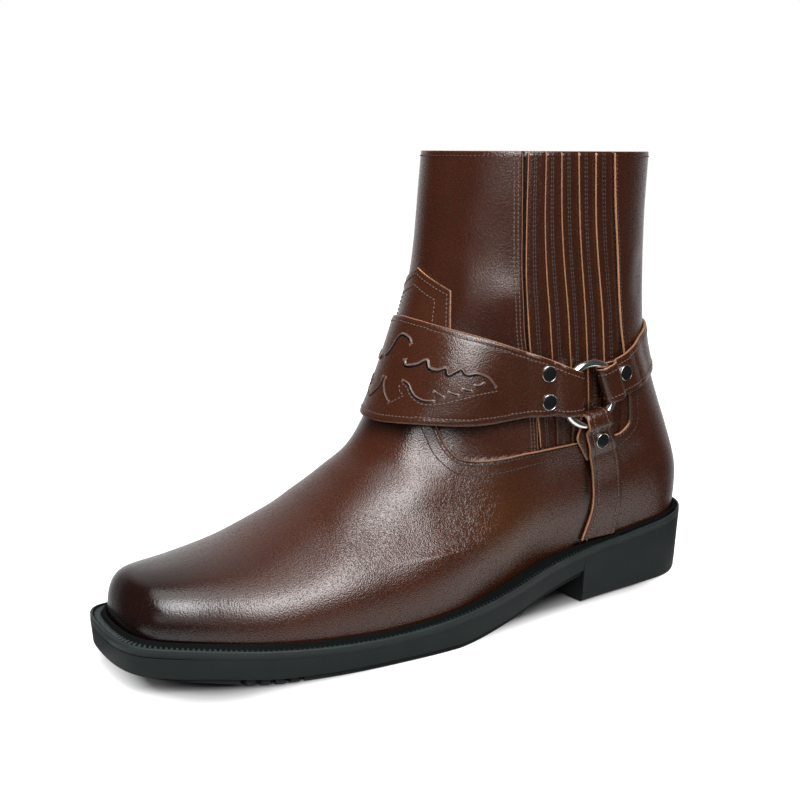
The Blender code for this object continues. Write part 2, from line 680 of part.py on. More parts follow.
def build_down_strap(side, side_name):
    """Harness strap from the ring down to the welt, its upper end folded round the ring."""
    across = np.linspace(0, 1, 3)
    height = LOW_LIFT + STRAP_THICK / 2
    fold, lead_x, lead_z = fold_rows("down", side, across, height)
    foot = feather_height(70.0) + RIB_HEIGHT + 0.6
    share = np.linspace(0, 1, 7)[1:, None]
    z = lead_z[None] + (foot - lead_z[None]) * share
    names = DOWN_STRAP_COLUMNS
    knots = column(DOWN_STRAP, names, "z")
    lines = []
    for part, start_x, start_z, line in zip(across, lead_x, lead_z, z.T):
        edge = column(DOWN_STRAP, names, "front") * part + column(DOWN_STRAP, names, "rear") * (1 - part)
        lines.append(curve(np.append(knots, start_z), np.append(edge, start_x), line))
    low = side_point(np.stack(lines, -1), z, side, height)
    sheet(f"down_strap_{side_name}", np.concatenate([fold[::-1], low]), STRAP_THICK, 0, STRAP_LEATHER)


def build_ring(side, side_name):
    """Bright ring that joins the three straps on one side, laid in the plane of the leather under it."""
    fore, aft, over, under = (
        side_point(RING_X + RING_RADIUS * along, RING_Z + RING_RADIUS * up, side, RING_HEIGHT)
        for along, up in ((1, 0), (-1, 0), (0, 1), (0, -1)))
    ahead = Vector(fore - aft).normalized()
    outward = Vector(over - under).cross(ahead).normalized()
    bpy.ops.mesh.primitive_torus_add(
        major_radius=RING_RADIUS * MM, minor_radius=WIRE_RADIUS * MM, major_segments=24, minor_segments=6)
    torus = bpy.context.object
    mesh = torus.data
    bpy.data.objects.remove(torus)
    mesh.name = f"ring_{side_name}"
    ring = add_part(f"ring_{side_name}", mesh, NICKEL)
    ring.location = to_frame((fore + aft + over + under) / 4)
    ring.rotation_euler = outward.to_track_quat("Z", "Y").to_euler()


def build_rivet(name, strap, run, aside, side):
    """Domed rivet head through both layers of a strap's fold."""
    x, z = fold_place(strap, run, aside)
    seat = side_point(x, z, side, RIVET_SEAT)
    axis = side_point(x, z, side, RIVET_SEAT + 1) - seat
    mesh = bpy.data.meshes.new(name)
    work = bmesh.new()
    bmesh.ops.create_cone(
        work, cap_ends=True, segments=12, radius1=RIVET_RADIUS * MM, radius2=RIVET_RADIUS * 0.62 * MM,
        depth=RIVET_HEIGHT * MM)
    bmesh.ops.translate(work, verts=work.verts, vec=(0, 0, RIVET_HEIGHT / 2 * MM))
    work.to_mesh(mesh)
    work.free()
    rivet = add_part(name, mesh, GUNMETAL)
    rivet.location = to_frame(seat)
    rivet.rotation_euler = Vector(axis).to_track_quat("Z", "Y").to_euler()


# Clear the scene and make the boot's collections
for old in list(bpy.data.objects):
    bpy.data.objects.remove(old)
for group in ("harness_boot", "cutters"):
    bpy.context.scene.collection.children.link(bpy.data.collections.new(group))
origin = bpy.data.objects.new("boot_origin", None)
bpy.data.collections["harness_boot"].objects.link(origin)

build_outsole()
build_welt()
build_insole()
build_upper()
build_front_tab()
build_front_strap()
build_back_strap()
for side, side_name in ((1, "lateral"), (-1, "medial")):
    build_gore(side, side_name)
    build_down_strap(side, side_name)
    build_ring(side, side_name)
    for rivet_name, strap, run, aside in RIVETS:
        build_rivet(f"rivet_{rivet_name}_{side_name}", strap, run, aside, side)
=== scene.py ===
"""Looks of a harness boot: brown pebbled leather, pleated gores, a ring and rivet harness and a rubber sole.

Sizes are in millimetres from the back of the heel along the sole, and become metres in the meshes.
+X points to the toe, +Y to the outer side of this left boot, and +Z up from the floor.
"""
import math

import bpy
import numpy as np
from mathutils import Matrix, Vector


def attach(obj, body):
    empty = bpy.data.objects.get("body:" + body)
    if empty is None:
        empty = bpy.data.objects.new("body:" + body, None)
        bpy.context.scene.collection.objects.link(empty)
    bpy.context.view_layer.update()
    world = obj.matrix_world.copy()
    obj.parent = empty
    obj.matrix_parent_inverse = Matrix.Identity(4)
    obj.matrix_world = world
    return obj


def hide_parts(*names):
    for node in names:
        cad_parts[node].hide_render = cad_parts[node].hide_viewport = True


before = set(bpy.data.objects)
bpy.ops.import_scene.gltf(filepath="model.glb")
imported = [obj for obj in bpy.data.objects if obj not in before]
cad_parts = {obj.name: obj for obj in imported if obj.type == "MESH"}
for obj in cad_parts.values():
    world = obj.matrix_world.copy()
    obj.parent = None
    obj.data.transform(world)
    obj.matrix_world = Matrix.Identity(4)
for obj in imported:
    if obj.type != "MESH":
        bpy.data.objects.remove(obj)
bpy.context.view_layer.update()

# Upper
# Leather wall drawn over the last and tucked under the sole: vamp, shaft front and heel panel.
# The vamp and heel panel lie over the gore with a raw edge, so the wall steps up along that seam.
MM = 0.001
SOLE_LENGTH = 302.0
COLLAR_HEIGHT = 209.0
SHAFT_AXIS = 85.0
WALL = 2.2
GAP = 0.3
TOE_ROUND = 20.0
TOE_MARGIN = 6.8
HEEL_MARGIN = 2.6
HEEL_ROUND = 30.0
HEEL_POWER = 2.5
TOE_POWER = 5.0
OUTLINE_POWER = 0.4
RIDGE_POWER = 2.3
ARCH_POWERS = ((150.0, 1.7), (200.0, 1.9), (260.0, RIDGE_POWER))
SIDE_POWERS = ((150.0, 0.5), (240.0, 0.5), (280.0, 0.42))
BACK_POWERS = ((30.0, HEEL_POWER), (120.0, 2.2))
STATION_COLUMNS = ("x", "lateral", "medial", "welt_top", "underside", "welt_margin")
STATIONS = (
    (0.0, 26.0, 27.0, 34.0, 16.5, 2.4),
    (20.0, 28.2, 30.5, 31.4, 16.0, 2.6),
    (45.0, 31.2, 33.6, 28.7, 15.6, 3.2),
    (80.0, 36.2, 34.6, 25.8, 13.4, 5.6),
    (105.0, 41.4, 34.8, 22.8, 9.4, 8.2),
    (130.0, 48.6, 36.6, 18.8, 4.4, 7.8),
    (160.0, 54.2, 42.0, 15.0, 0.0, 5.4),
    (190.0, 55.0, 50.4, 12.8, 0.0, 5.2),
    (220.0, 53.2, 55.0, 13.2, 0.0, 5.6),
    (248.0, 47.2, 50.0, 14.6, 0.5, 5.8),
    (272.0, 37.0, 39.0, 16.2, 2.6, 5.8),
    (288.0, 31.0, 30.0, 18.2, 5.2, 5.8),
    (302.0, 27.0, 22.5, 20.8, 8.2, 5.8),
)
# Front of the upper in side view, from the collar down to the toe: z and x
FRONT = (
    (209.0, 145.0), (190.0, 147.0), (170.0, 148.8), (152.0, 151.0), (138.0, 155.0), (124.0, 160.5),
    (110.0, 166.5), (98.0, 172.0), (88.0, 178.0), (79.0, 187.0), (70.5, 198.0), (62.0, 211.0),
    (54.4, 224.0), (48.5, 237.0), (44.9, 250.0), (42.8, 264.0), (41.8, 280.0), (41.0, 297.0),
)
BACK_COLUMNS = ("z", "x", "half_breadth", "back_round", "front_round", "front_power")
BACK = (
    (26.0, 3.0, 35.2, 30.0, 126.0, 1.8),
    (46.0, 2.0, 35.9, 32.0, 117.0, 1.8),
    (56.0, 3.4, 36.1, 33.6, 109.0, 1.8),
    (66.0, 6.8, 36.3, 35.2, 103.0, 1.83),
    (78.0, 12.0, 36.5, 38.8, 94.0, 1.9),
    (90.0, 17.6, 36.5, 43.2, 86.0, 1.97),
    (104.0, 23.2, 36.5, 48.2, 77.0, 2.05),
    (120.0, 27.6, 36.6, 54.0, 68.0, 2.14),
    (138.0, 29.8, 37.0, 54.8, 61.6, 2.2),
    (158.0, 30.6, 37.3, 55.8, 60.6, 2.2),
    (180.0, 31.0, 37.8, 56.7, 59.5, 2.2),
    (209.0, 30.0, 38.5, 58.0, 58.0, 2.2),
)
# Raw edge of the vamp and heel panel, from under the front strap round the gore to the collar: x and z
SEAM = (
    (158.5, 100.0), (155.6, 89.3), (153.7, 82.9), (149.4, 77.9), (143.0, 76.2), (135.0, 75.8), (111.5, 77.4),
    (85.2, 78.8), (67.9, 79.4), (60.9, 81.0), (57.0, 84.6), (57.4, 92.0), (59.2, 103.0), (61.8, 118.0),
    (64.8, 132.0), (69.2, 165.0), (72.4, 188.0), (74.4, 208.8),
)
# Edge of the shaft's front panel beside the gore: x and z
PANEL_EDGE = ((119.6, 208.8), (119.3, 180.0), (117.8, 131.0), (110.9, 92.0), (109.0, 78.0))
SEAM_STEP = 1.0
SEAM_FADE = 16.0
PANEL_STEP = 0.7
PANEL_FADE = 12.0
STEP_RUN = 1.2
# Soft troughs in the leather in side view: x and z of both ends, bow to the left, half width and depth
CREASES = (
    (172.0, 84.0, 222.0, 44.0, 5.0, 6.0, 0.55),
    (163.0, 80.0, 205.0, 40.0, 4.0, 6.0, 0.4),
    (186.0, 78.0, 232.0, 46.0, 3.0, 5.0, 0.45),
    (205.0, 60.0, 240.0, 36.0, -3.0, 5.0, 0.35),
    (150.0, 64.0, 146.0, 34.0, 3.0, 3.2, 0.06),
    (141.0, 66.0, 138.0, 32.0, -2.0, 2.6, 0.06),
    (158.0, 66.0, 160.0, 36.0, 2.0, 3.4, 0.06),
    (36.0, 70.0, 62.0, 58.0, 3.0, 5.0, 0.3),
    (198.0, 78.0, 148.0, 82.0, 0.0, 7.0, 0.9),
    (100.0, 77.0, 156.0, 77.0, 0.0, 9.0, 1.0),
    (152.0, 151.0, 110.0, 147.0, 0.0, 12.0, -1.4),
    (128.0, 190.0, 122.0, 146.0, 3.0, 6.0, 0.35),
    (140.0, 176.0, 134.0, 142.0, -2.0, 5.0, 0.3),
    (42.0, 170.0, 48.0, 136.0, 3.0, 6.0, 0.35),
)


def column(table, names, name):
    """One named column of a table as an array."""
    return np.array([row[names.index(name)] for row in table])


def curve(knots, values, at):
    """Smooth curve through a table: cubic between knots, with the slopes of its neighbours."""
    order = np.argsort(knots)
    knots = np.asarray(knots, float)[order]
    values = np.asarray(values, float)[order]
    slopes = np.gradient(values, knots)
    at = np.clip(at, knots[0], knots[-1])
    i = np.clip(np.searchsorted(knots, at, side="right") - 1, 0, len(knots) - 2)
    span = knots[i + 1] - knots[i]
    t = (at - knots[i]) / span
    start = (1 + 2 * t) * (1 - t) ** 2 * values[i] + t * (1 - t) ** 2 * span * slopes[i]
    end = t * t * (3 - 2 * t) * values[i + 1] + t * t * (t - 1) * span * slopes[i + 1]
    return start + end


def station(name, x):
    """A column of the last's stations at x."""
    return curve(column(STATIONS, STATION_COLUMNS, "x"), column(STATIONS, STATION_COLUMNS, name), x)


def level(name, z):
    """A column of the shaft's heights at z."""
    return curve(column(BACK, BACK_COLUMNS, "z"), column(BACK, BACK_COLUMNS, name), z)


def ease(t):
    """Soft step from 0 to 1."""
    t = np.clip(t, 0, 1)
    return t * t * (3 - 2 * t)


def cosine_steps(count):
    """Steps from 0 to 1 that crowd together at both ends."""
    return (1 - np.cos(np.pi * np.linspace(0, 1, count))) / 2


def path_length(points):
    """Running length along a line of points."""
    steps = np.linalg.norm(np.diff(points, axis=0), axis=-1)
    return np.concatenate([[0], np.cumsum(steps)])


def smooth_path(points, count):
    """Points evenly spaced along a smooth curve through a table's points."""
    points = np.asarray(points, float)
    along = path_length(points)
    at = np.linspace(0, along[-1], count)
    return np.stack([curve(along, part, at) for part in points.T], -1)


def breadth(x, side):
    """Half breadth of the sole before its ends are rounded; side is 1 lateral, -1 medial."""
    return np.where(np.asarray(side) > 0, station("lateral", x), station("medial", x))


FRONT_Z, FRONT_X = smooth_path(FRONT, 400).T


def feather_height(x):
    """Height of the upper's lower edge, just above the welt."""
    return station("welt_top", x) + GAP


def upper_half(x, z, side):
    """Half breadth of the upper at x and z: breadth times (1 - g) to a power, with g = 1 on its outline.

    g adds the round of the heel and back to that of the front. Over the forefoot the front is an
    arch under the ridge that closes at the square toe, over the shaft it is the front of an oval.
    """
    base = feather_height(x)
    ridge = np.interp(x, FRONT_X, FRONT_Z)
    rise = np.clip((z - base) / np.maximum(ridge - base, 1), 0, 1.2)
    toe_share = np.clip((x - SOLE_LENGTH + TOE_MARGIN + TOE_ROUND) / TOE_ROUND, 0, 1)
    arch = toe_share ** TOE_POWER + rise ** np.interp(x, *zip(*ARCH_POWERS))
    ahead = np.interp(z, FRONT_Z[::-1], FRONT_X[::-1]) - x
    oval = np.clip(1 - ahead / level("front_round", z), 0, 1.2) ** level("front_power", z)
    behind = x - level("x", z)
    back = np.clip(1 - behind / level("back_round", z), 0, 1.2) ** np.interp(z, *zip(*BACK_POWERS))
    shaft = ease((195 - x) / 45)
    g = back + (1 - shaft) * arch + shaft * oval
    low = breadth(x, side) - station("welt_margin", x)
    lean = ease((z - base) / 85) * ease((215 - x) / 70)
    width = low + (level("half_breadth", z) - low) * lean
    swell = 1 + 0.05 * np.sin(np.pi * np.clip((z - base) / 45, 0, 1)) ** 2
    return width * swell * np.clip(1 - g, 0, 1) ** np.interp(x, *zip(*SIDE_POWERS))


def side_point(x, z, side, lift):
    """Point on the upper's side at x and z, raised by lift along its normal."""
    x, z, lift = np.broadcast_arrays(np.asarray(x, float), np.asarray(z, float), np.asarray(lift, float))
    step = 0.2
    y = upper_half(x, z, side)
    slope_x = (upper_half(x + step, z, side) - upper_half(x - step, z, side)) / (2 * step)
    slope_z = (upper_half(x, z + step, side) - upper_half(x, z - step, side)) / (2 * step)
    normal = np.stack([-slope_x, np.ones_like(x), -slope_z], -1)
    normal /= np.linalg.norm(normal, axis=-1, keepdims=True)
    point = np.stack([x, y, z], -1) + normal * lift[..., None]
    return point * np.array([1, side, 1])


def to_frame(points):
    """Millimetres from the heel to metres about the middle of the sole."""
    return (np.asarray(points) - np.array([SOLE_LENGTH / 2, 0, 0])) * MM


def grid_normals(points, closed_rows=False):
    """Unit normals of a grid: the way along its columns crossed with the way along its rows."""
    if closed_rows:
        along = np.roll(points, -1, 0) - np.roll(points, 1, 0)
    else:
        along = np.gradient(points, axis=0)
    normal = np.cross(np.gradient(points, axis=1), along)
    return normal / np.maximum(np.linalg.norm(normal, axis=-1, keepdims=True), 1e-9)


def grid_quads(rows, columns, closed_rows=False, closed_columns=False):
    """Corner numbers of a grid's quads, facing the way of grid_normals."""
    i = np.arange(rows if closed_rows else rows - 1)[:, None]
    j = np.arange(columns if closed_columns else columns - 1)[None]
    k = (i + 1) % rows
    m = (j + 1) % columns
    return np.stack([i * columns + j, i * columns + m, k * columns + m, k * columns + j], -1).reshape(-1, 4)


def add_piece(name, points, faces, materials, slots=None, values=()):
    """Smooth mesh object at the origin from points in millimetres, with point values for its material."""
    mesh = bpy.data.meshes.new(name)
    mesh.from_pydata(to_frame(np.asarray(points).reshape(-1, 3)).tolist(), [], np.asarray(faces).tolist())
    for finish in materials:
        mesh.materials.append(finish)
    if slots is not None:
        mesh.polygons.foreach_set("material_index", np.asarray(slots, np.int32).ravel())
    for label, numbers in dict(values).items():
        layer = mesh.attributes.new(label, "FLOAT", "POINT")
        layer.data.foreach_set("value", np.asarray(numbers, np.float32).ravel())
    mesh.shade_smooth()
    mesh.update()
    piece = bpy.data.objects.new(name, mesh)
    bpy.context.scene.collection.objects.link(piece)
    return piece


def srgb(code):
    """Linear colour from an sRGB hex code."""
    parts = [int(code[i:i + 2], 16) / 255 for i in (1, 3, 5)]
    return [p / 12.92 if p <= 0.04045 else ((p + 0.055) / 1.055) ** 2.4 for p in parts] + [1.0]


def set_inputs(node, inputs):
    """Sets a node's inputs by name or number: a socket is linked, any other value is set."""
    for label, value in dict(inputs).items():
        socket = node.inputs[label]
        if isinstance(value, bpy.types.NodeSocket):
            node.id_data.links.new(value, socket)
        else:
            socket.default_value = value


def add_node(tree, kind, inputs=(), **settings):
    """New node with its settings and inputs."""
    node = tree.nodes.new(kind)
    for name, value in settings.items():
        setattr(node, name, value)
    set_inputs(node, inputs)
    return node


def new_finish(name):
    """New material and its shader."""
    made = bpy.data.materials.new(name)
    made.use_nodes = True
    return made, made.node_tree.nodes["Principled BSDF"]


# Sizes of the leather's patterns: mottles, wander of the pebbles, fine grain, crease lines across and along
MOTTLE = 18.0
WANDER = 1.7
WANDER_REACH = 0.4
FINE_GRAIN = 0.45
LINE_BREADTH = 1.6
LINE_LENGTH = 3.8
PEBBLE_DEPTH = 0.13
LINE_DEPTH = 0.16


def leather(name, base, light, burnt_and_shade, warm, pebble, gloss):
    """Polished leather: mottled browns, burnt dark where rubbed and painted dark where shade falls, with
    pebbles that break up the gloss.
    """
    made, shader = new_finish(name)
    tree = made.node_tree
    place = add_node(tree, "ShaderNodeTexCoord").outputs["Object"]
    mottle = add_node(tree, "ShaderNodeTexNoise", {
        "Vector": place, "Scale": 1 / (MOTTLE * MM), "Detail": 4.0})
    colour = add_node(tree, "ShaderNodeMix", {
        0: mottle.outputs["Fac"], 6: srgb(base), 7: srgb(light)}, data_type="RGBA").outputs[2]
    glow = add_node(tree, "ShaderNodeAttribute", attribute_name="warm").outputs["Fac"]
    colour = add_node(tree, "ShaderNodeMix", {
        0: glow, 6: colour, 7: srgb(warm)}, data_type="RGBA").outputs[2]
    rubbed_and_shaded = add_node(tree, "ShaderNodeAttribute", attribute_name="burnish_and_shade").outputs["Fac"]
    colour = add_node(tree, "ShaderNodeMix", {
        0: rubbed_and_shaded, 6: colour, 7: srgb(burnt_and_shade)}, data_type="RGBA").outputs[2]
    # Pebbles of the grain, wandering a little so that no row shows, and smoother where rubbed and where shade
    # is painted
    wander = add_node(tree, "ShaderNodeTexNoise", {
        "Vector": place, "Scale": 1 / (WANDER * MM), "Detail": 2.0})
    shift = add_node(tree, "ShaderNodeVectorMath", {
        0: wander.outputs["Color"], 1: [WANDER_REACH * MM] * 3, 2: place}, operation="MULTIPLY_ADD")
    cells = add_node(tree, "ShaderNodeTexVoronoi", {"Vector": shift.outputs[0], "Scale": 1 / (pebble * MM)})
    fine = add_node(tree, "ShaderNodeTexNoise", {
        "Vector": place, "Scale": 1 / (FINE_GRAIN * MM), "Detail": 3.0})
    grain = add_node(tree, "ShaderNodeMath", {
        0: fine.outputs["Fac"], 1: 0.25, 2: cells.outputs["Distance"]}, operation="MULTIPLY_ADD").outputs[0]
    swell = add_node(tree, "ShaderNodeMapRange", {"Value": rubbed_and_shaded, "To Min": 0.7, "To Max": 0.28})
    pebbles = add_node(tree, "ShaderNodeBump", {
        "Height": grain, "Strength": swell.outputs["Result"], "Distance": PEBBLE_DEPTH * MM}, invert=True)
    # Fine crease lines that run down the sides, stronger where the mesh asks for them
    across = 1 / (LINE_BREADTH * MM)
    stretch = add_node(tree, "ShaderNodeMapping", {
        "Vector": place, "Scale": (across, across, 1 / (LINE_LENGTH * MM))})
    lines = add_node(tree, "ShaderNodeTexNoise", {
        "Vector": stretch.outputs[0], "Scale": 1.0, "Detail": 2.0, "Distortion": 0.6})
    centred = add_node(tree, "ShaderNodeMath", {0: lines.outputs["Fac"], 1: 0.5}, operation="SUBTRACT")
    ridged = add_node(tree, "ShaderNodeMath", {0: centred.outputs[0]}, operation="ABSOLUTE")
    lined = add_node(tree, "ShaderNodeMapRange", {"Value": ridged.outputs[0], "From Max": 0.07})
    wrinkled = add_node(tree, "ShaderNodeAttribute", attribute_name="wrinkle").outputs["Fac"]
    wrinkles = add_node(tree, "ShaderNodeBump", {
        "Height": lined.outputs["Result"], "Strength": wrinkled, "Distance": LINE_DEPTH * MM,
        "Normal": pebbles.outputs["Normal"]})
    # The valleys between the pebbles are darker and hold no polish
    valley = add_node(tree, "ShaderNodeMapRange", {
        "Value": grain, "From Min": 0.55, "From Max": 0.9, "To Max": 0.42}).outputs["Result"]
    colour = add_node(tree, "ShaderNodeMix", {
        0: valley, 6: colour, 7: srgb(burnt_and_shade)}, data_type="RGBA").outputs[2]
    dullest = add_node(tree, "ShaderNodeMapRange", {
        "Value": rubbed_and_shaded, "To Min": gloss + 0.3, "To Max": gloss + 0.1})
    polished = add_node(tree, "ShaderNodeMapRange", {
        "Value": rubbed_and_shaded, "To Min": gloss, "To Max": gloss - 0.07})
    shine = add_node(tree, "ShaderNodeMapRange", {
        "Value": grain, "From Min": 0.65, "From Max": 1.0, "To Min": polished.outputs["Result"],
        "To Max": dullest.outputs["Result"]})
    set_inputs(shader, {
        "Base Color": colour, "Roughness": shine.outputs["Result"], "Normal": wrinkles.outputs["Normal"],
        "Specular IOR Level": 0.5, "Coat Weight": 0.04, "Coat Roughness": 0.15})
    return made


# Breadth of the tufts of fibre in a cut edge
FIBRE = 2.4


def raw_edge(name, light, dark, dark_dye_and_shade):
    """Cut edge of tanned leather: matte tan with darker fibres, dyed dark and painted dark as shade where the
    mesh asks for it.
    """
    made, shader = new_finish(name)
    tree = made.node_tree
    place = add_node(tree, "ShaderNodeTexCoord").outputs["Object"]
    fibres = add_node(tree, "ShaderNodeTexNoise", {
        "Vector": place, "Scale": 1 / (FIBRE * MM), "Detail": 3.0})
    colour = add_node(tree, "ShaderNodeMix", {
        0: fibres.outputs["Fac"], 6: srgb(light), 7: srgb(dark)}, data_type="RGBA").outputs[2]
    dye_and_shade = add_node(tree, "ShaderNodeAttribute", attribute_name="dye_and_shade").outputs["Fac"]
    colour = add_node(tree, "ShaderNodeMix", {
        0: dye_and_shade, 6: colour, 7: srgb(dark_dye_and_shade)}, data_type="RGBA").outputs[2]
    set_inputs(shader, {"Base Color": colour, "Roughness": 0.75})
    return made


# Deep red brown that the polish turns nearly black at the toe, and a pale line at every cut
UPPER_LEATHER = leather("brown_pebbled_leather", "#260e06", "#331609", "#060303", "#3d2206", 0.65, 0.2)
TAN_EDGE = raw_edge("raw_tan_edge", "#8c6043", "#6e4a31", "#2a1712")
POINTS_AT_ONCE = 4000


def side_view_distance(x, z, line):
    """Distance in side view from points to a line, positive on the left of its run."""
    flat = np.stack([np.ravel(x), np.ravel(z)], -1)
    distance = np.empty(len(flat))
    ahead = np.gradient(line, axis=0)
    for start in range(0, len(flat), POINTS_AT_ONCE):
        gap = flat[start:start + POINTS_AT_ONCE, None] - line[None]
        nearest = np.argmin((gap ** 2).sum(-1), axis=1)
        near = gap[np.arange(len(gap)), nearest]
        turn = ahead[nearest, 0] * near[:, 1] - ahead[nearest, 1] * near[:, 0]
        distance[start:start + POINTS_AT_ONCE] = np.hypot(*near.T) * np.where(turn >= 0, 1, -1)
    return distance.reshape(np.shape(x))


def crease_height(x, z):
    """Height of the creases at a point in side view: each is a soft trough with a low ridge beside it."""
    height = np.zeros(np.shape(x))
    for x0, z0, x1, z1, bow, half_width, depth in CREASES:
        along = np.array([x1 - x0, z1 - z0])
        length = np.hypot(*along)
        along = along / length
        run = ((x - x0) * along[0] + (z - z0) * along[1]) / length
        aside = (z - z0) * along[0] - (x - x0) * along[1] - bow * 4 * run * (1 - run)
        fade = ease(run / 0.3) * ease((1 - run) / 0.3)
        trough = np.exp(-(aside / half_width) ** 2)
        ridge = np.exp(-((aside - 1.9 * half_width) / half_width) ** 2)
        height += depth * fade * (0.6 * ridge - trough)
    return height


def upper_patch(across, up):
    """Side view x and z of the upper's wall, blended from its lower edge, collar, back and front."""
    tip = SOLE_LENGTH - TOE_MARGIN
    share = np.linspace(1, 0, 200) ** 0.6
    wall_x = tip - TOE_ROUND + TOE_ROUND * share
    base = feather_height(wall_x)
    arch = (1 - share ** TOE_POWER) ** (1 / RIDGE_POWER)
    toe = np.stack([wall_x, base + (np.interp(wall_x, FRONT_X, FRONT_Z) - base) * arch], -1)
    ridge = np.stack([FRONT_X, FRONT_Z], -1)[::-1]
    edge = np.concatenate([toe, ridge[ridge[:, 0] < wall_x[-1]]])
    along = path_length(edge)
    front = np.stack([np.interp(up * along[-1], along, part) for part in edge.T])
    heel_z = feather_height(HEEL_MARGIN)
    back_z = heel_z + (COLLAR_HEIGHT - heel_z) * up
    back = np.stack([level("x", back_z), back_z])
    foot_x = back[0, 0] + (tip - back[0, 0]) * across
    foot = np.stack([foot_x, feather_height(foot_x)])
    collar_x = back[0, -1] + (front[0, -1] - back[0, -1]) * across
    collar = np.stack([collar_x, np.full(len(across), COLLAR_HEIGHT)])
    s = across[:, None]
    v = up[None, :]
    patch = []
    for bottom, top, left, right in zip(foot, collar, back, front):
        ruled = (1 - v) * bottom[:, None] + v * top[:, None] + (1 - s) * left[None] + s * right[None]
        corners = (1 - s) * ((1 - v) * bottom[0] + v * top[0]) + s * ((1 - v) * bottom[-1] + v * top[-1])
        patch.append(ruled - corners)
    return patch


def upper_wall(across_count, up):
    """Grid of the upper's outside, closed round the boot: its rows go round, its columns go up."""
    x, z = upper_patch(cosine_steps(across_count), up)
    lateral = np.stack([x, upper_half(x, z, 1), z], -1)
    medial = np.stack([x, -upper_half(x, z, -1), z], -1)
    return np.concatenate([lateral, medial[-2:0:-1]])


SEAM_LINE = smooth_path(SEAM, 500)
PANEL_LINE = smooth_path(PANEL_EDGE, 200)


def wall_lift(x, z):
    """Height of the wall over the bare form: its steps along the seam and the panel's edge, and its creases.

    Each step rises over STEP_RUN on the lapping side and fades away from the edge.
    """
    seam_away = side_view_distance(x, z, SEAM_LINE)
    panel_away = side_view_distance(x, z, PANEL_LINE)
    lift = SEAM_STEP * ease(seam_away / STEP_RUN + 0.5) * np.exp(-np.maximum(seam_away, 0) / SEAM_FADE)
    panel = PANEL_STEP * ease(panel_away / STEP_RUN + 0.5) * np.exp(-np.maximum(panel_away, 0) / PANEL_FADE)
    lift += panel * ease((z - 76) / 4)
    above = z - feather_height(x)
    return lift * ease(above / 12) + crease_height(x, z) * ease(above / 10)


UP_PLACES = ((0.0, 0.0), (0.26, 0.1), (0.45, 0.34), (0.87, 0.8), (1.0, 1.0))
wall_up = np.interp(np.linspace(0, 1, 150), *zip(*UP_PLACES))
wall = upper_wall(212, wall_up)
wall_out = grid_normals(wall, closed_rows=True)
wall = wall + wall_out * wall_lift(wall[..., 0], wall[..., 2])[..., None]
# The collar's cut edge turns in over the wall's thickness: inset and rise
RIM = ((0.12, 0.25), (0.6, 0.42), (1.2, 0.42), (1.8, 0.3), (WALL, 0.0))
rim_inward = wall_out[:, -1] * np.array([1, 1, 0])
rim_rows = [wall[:, -1] - rim_inward * inset + np.array([0, 0, rise]) for inset, rise in RIM]
wall = np.concatenate([wall, np.stack(rim_rows, 1)], 1)
rounds, rises = wall.shape[:2]
wall_slots = np.zeros((rounds, rises - 1), int)
wall_slots[:, -len(RIM) + 1:] = 1
# The leather is rubbed dark at the toe, along the welt and at the heel, and it is darker up the shaft; the
# same values carry the painted shade below
wall_x, wall_y, wall_z = np.moveaxis(wall, -1, 0)
above_welt = wall_z - feather_height(wall_x)
burnish_and_shade = 0.85 * ease((wall_x - 230) / 62) + 0.25 * ease(1 - above_welt / 10)
burnish_and_shade += 0.22 * ease((30 - wall_x) / 30) + 0.2 * ease((wall_z - 95) / 40)
# Painted shadow: it is dark along the down strap's front edge, where the strap casts its shade: z and x
STRAP_SHADE = ((28.0, 81.6), (44.0, 77.2), (60.0, 78.4), (76.0, 81.8))
beside_strap = wall_x - np.interp(wall_z, *zip(*STRAP_SHADE))
burnish_and_shade += 0.9 * np.exp(-(beside_strap / 2.2) ** 2) * ease((78 - wall_z) / 8)
# Painted shadow: it is dark under the instep strap's lower edge, where the strap casts its shade: the edge's
# height and the reach, by angle from the front
STRAP_FOOT = ((0.0, 92.2), (25.0, 91.8), (48.0, 94.3), (75.0, 94.1))
FOOT_REACH = ((10.0, 5.5), (35.0, 3.5))
wall_angle = np.degrees(np.arctan2(np.abs(wall_y), wall_x - SHAFT_AXIS))
under_strap = np.interp(wall_angle, *zip(*STRAP_FOOT)) - wall_z
foot_shade = np.exp(-(under_strap / np.interp(wall_angle, *zip(*FOOT_REACH))) ** 2)
burnish_and_shade += 0.8 * foot_shade * ease((80 - wall_angle) / 10)
# It is black in the narrow gap between the front panel's edge and the first pleat
gap_away = side_view_distance(wall_x, wall_z, PANEL_LINE) + 1.0
burnish_and_shade += 0.8 * np.exp(-(gap_away / 0.9) ** 2)
# A warmer brown shows on the quarter, and fine crease lines on the quarter and the vamp
warm = 0.4 * np.exp(-((wall_x - 128) / 26) ** 2 - ((wall_z - 50) / 20) ** 2)
wrinkle = np.exp(-((wall_x - 148) / 20) ** 2 - ((wall_z - 52) / 22) ** 2)
wrinkle += 0.7 * np.exp(-((wall_x - 200) / 26) ** 2 - ((wall_z - 48) / 14) ** 2)
RIM_DYE = 0.45
wall_values = {
    "burnish_and_shade": np.clip(burnish_and_shade, 0, 0.95), "warm": warm, "wrinkle": 0.08 + 0.5 * wrinkle,
    "dye_and_shade": np.full(wall.shape[:2], RIM_DYE)}
upper = add_piece(
    "upper_leather_wall", wall, grid_quads(rounds, rises, closed_rows=True), [UPPER_LEATHER, TAN_EDGE],
    wall_slots, wall_values)
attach(upper, "root")
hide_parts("upper")

# Lining
# Smooth undyed leather, glued inside the shaft and vamp and sewn in along the collar.
# It shows from above, through the open shaft.
LINING_CLOUD = 8.0
lining_wall = upper_wall(100, np.interp(np.linspace(0, 1, 70), *zip(*UP_PLACES)))
lining_wall = lining_wall - grid_normals(lining_wall, closed_rows=True) * WALL
lining_wall[:, -1, 2] = COLLAR_HEIGHT


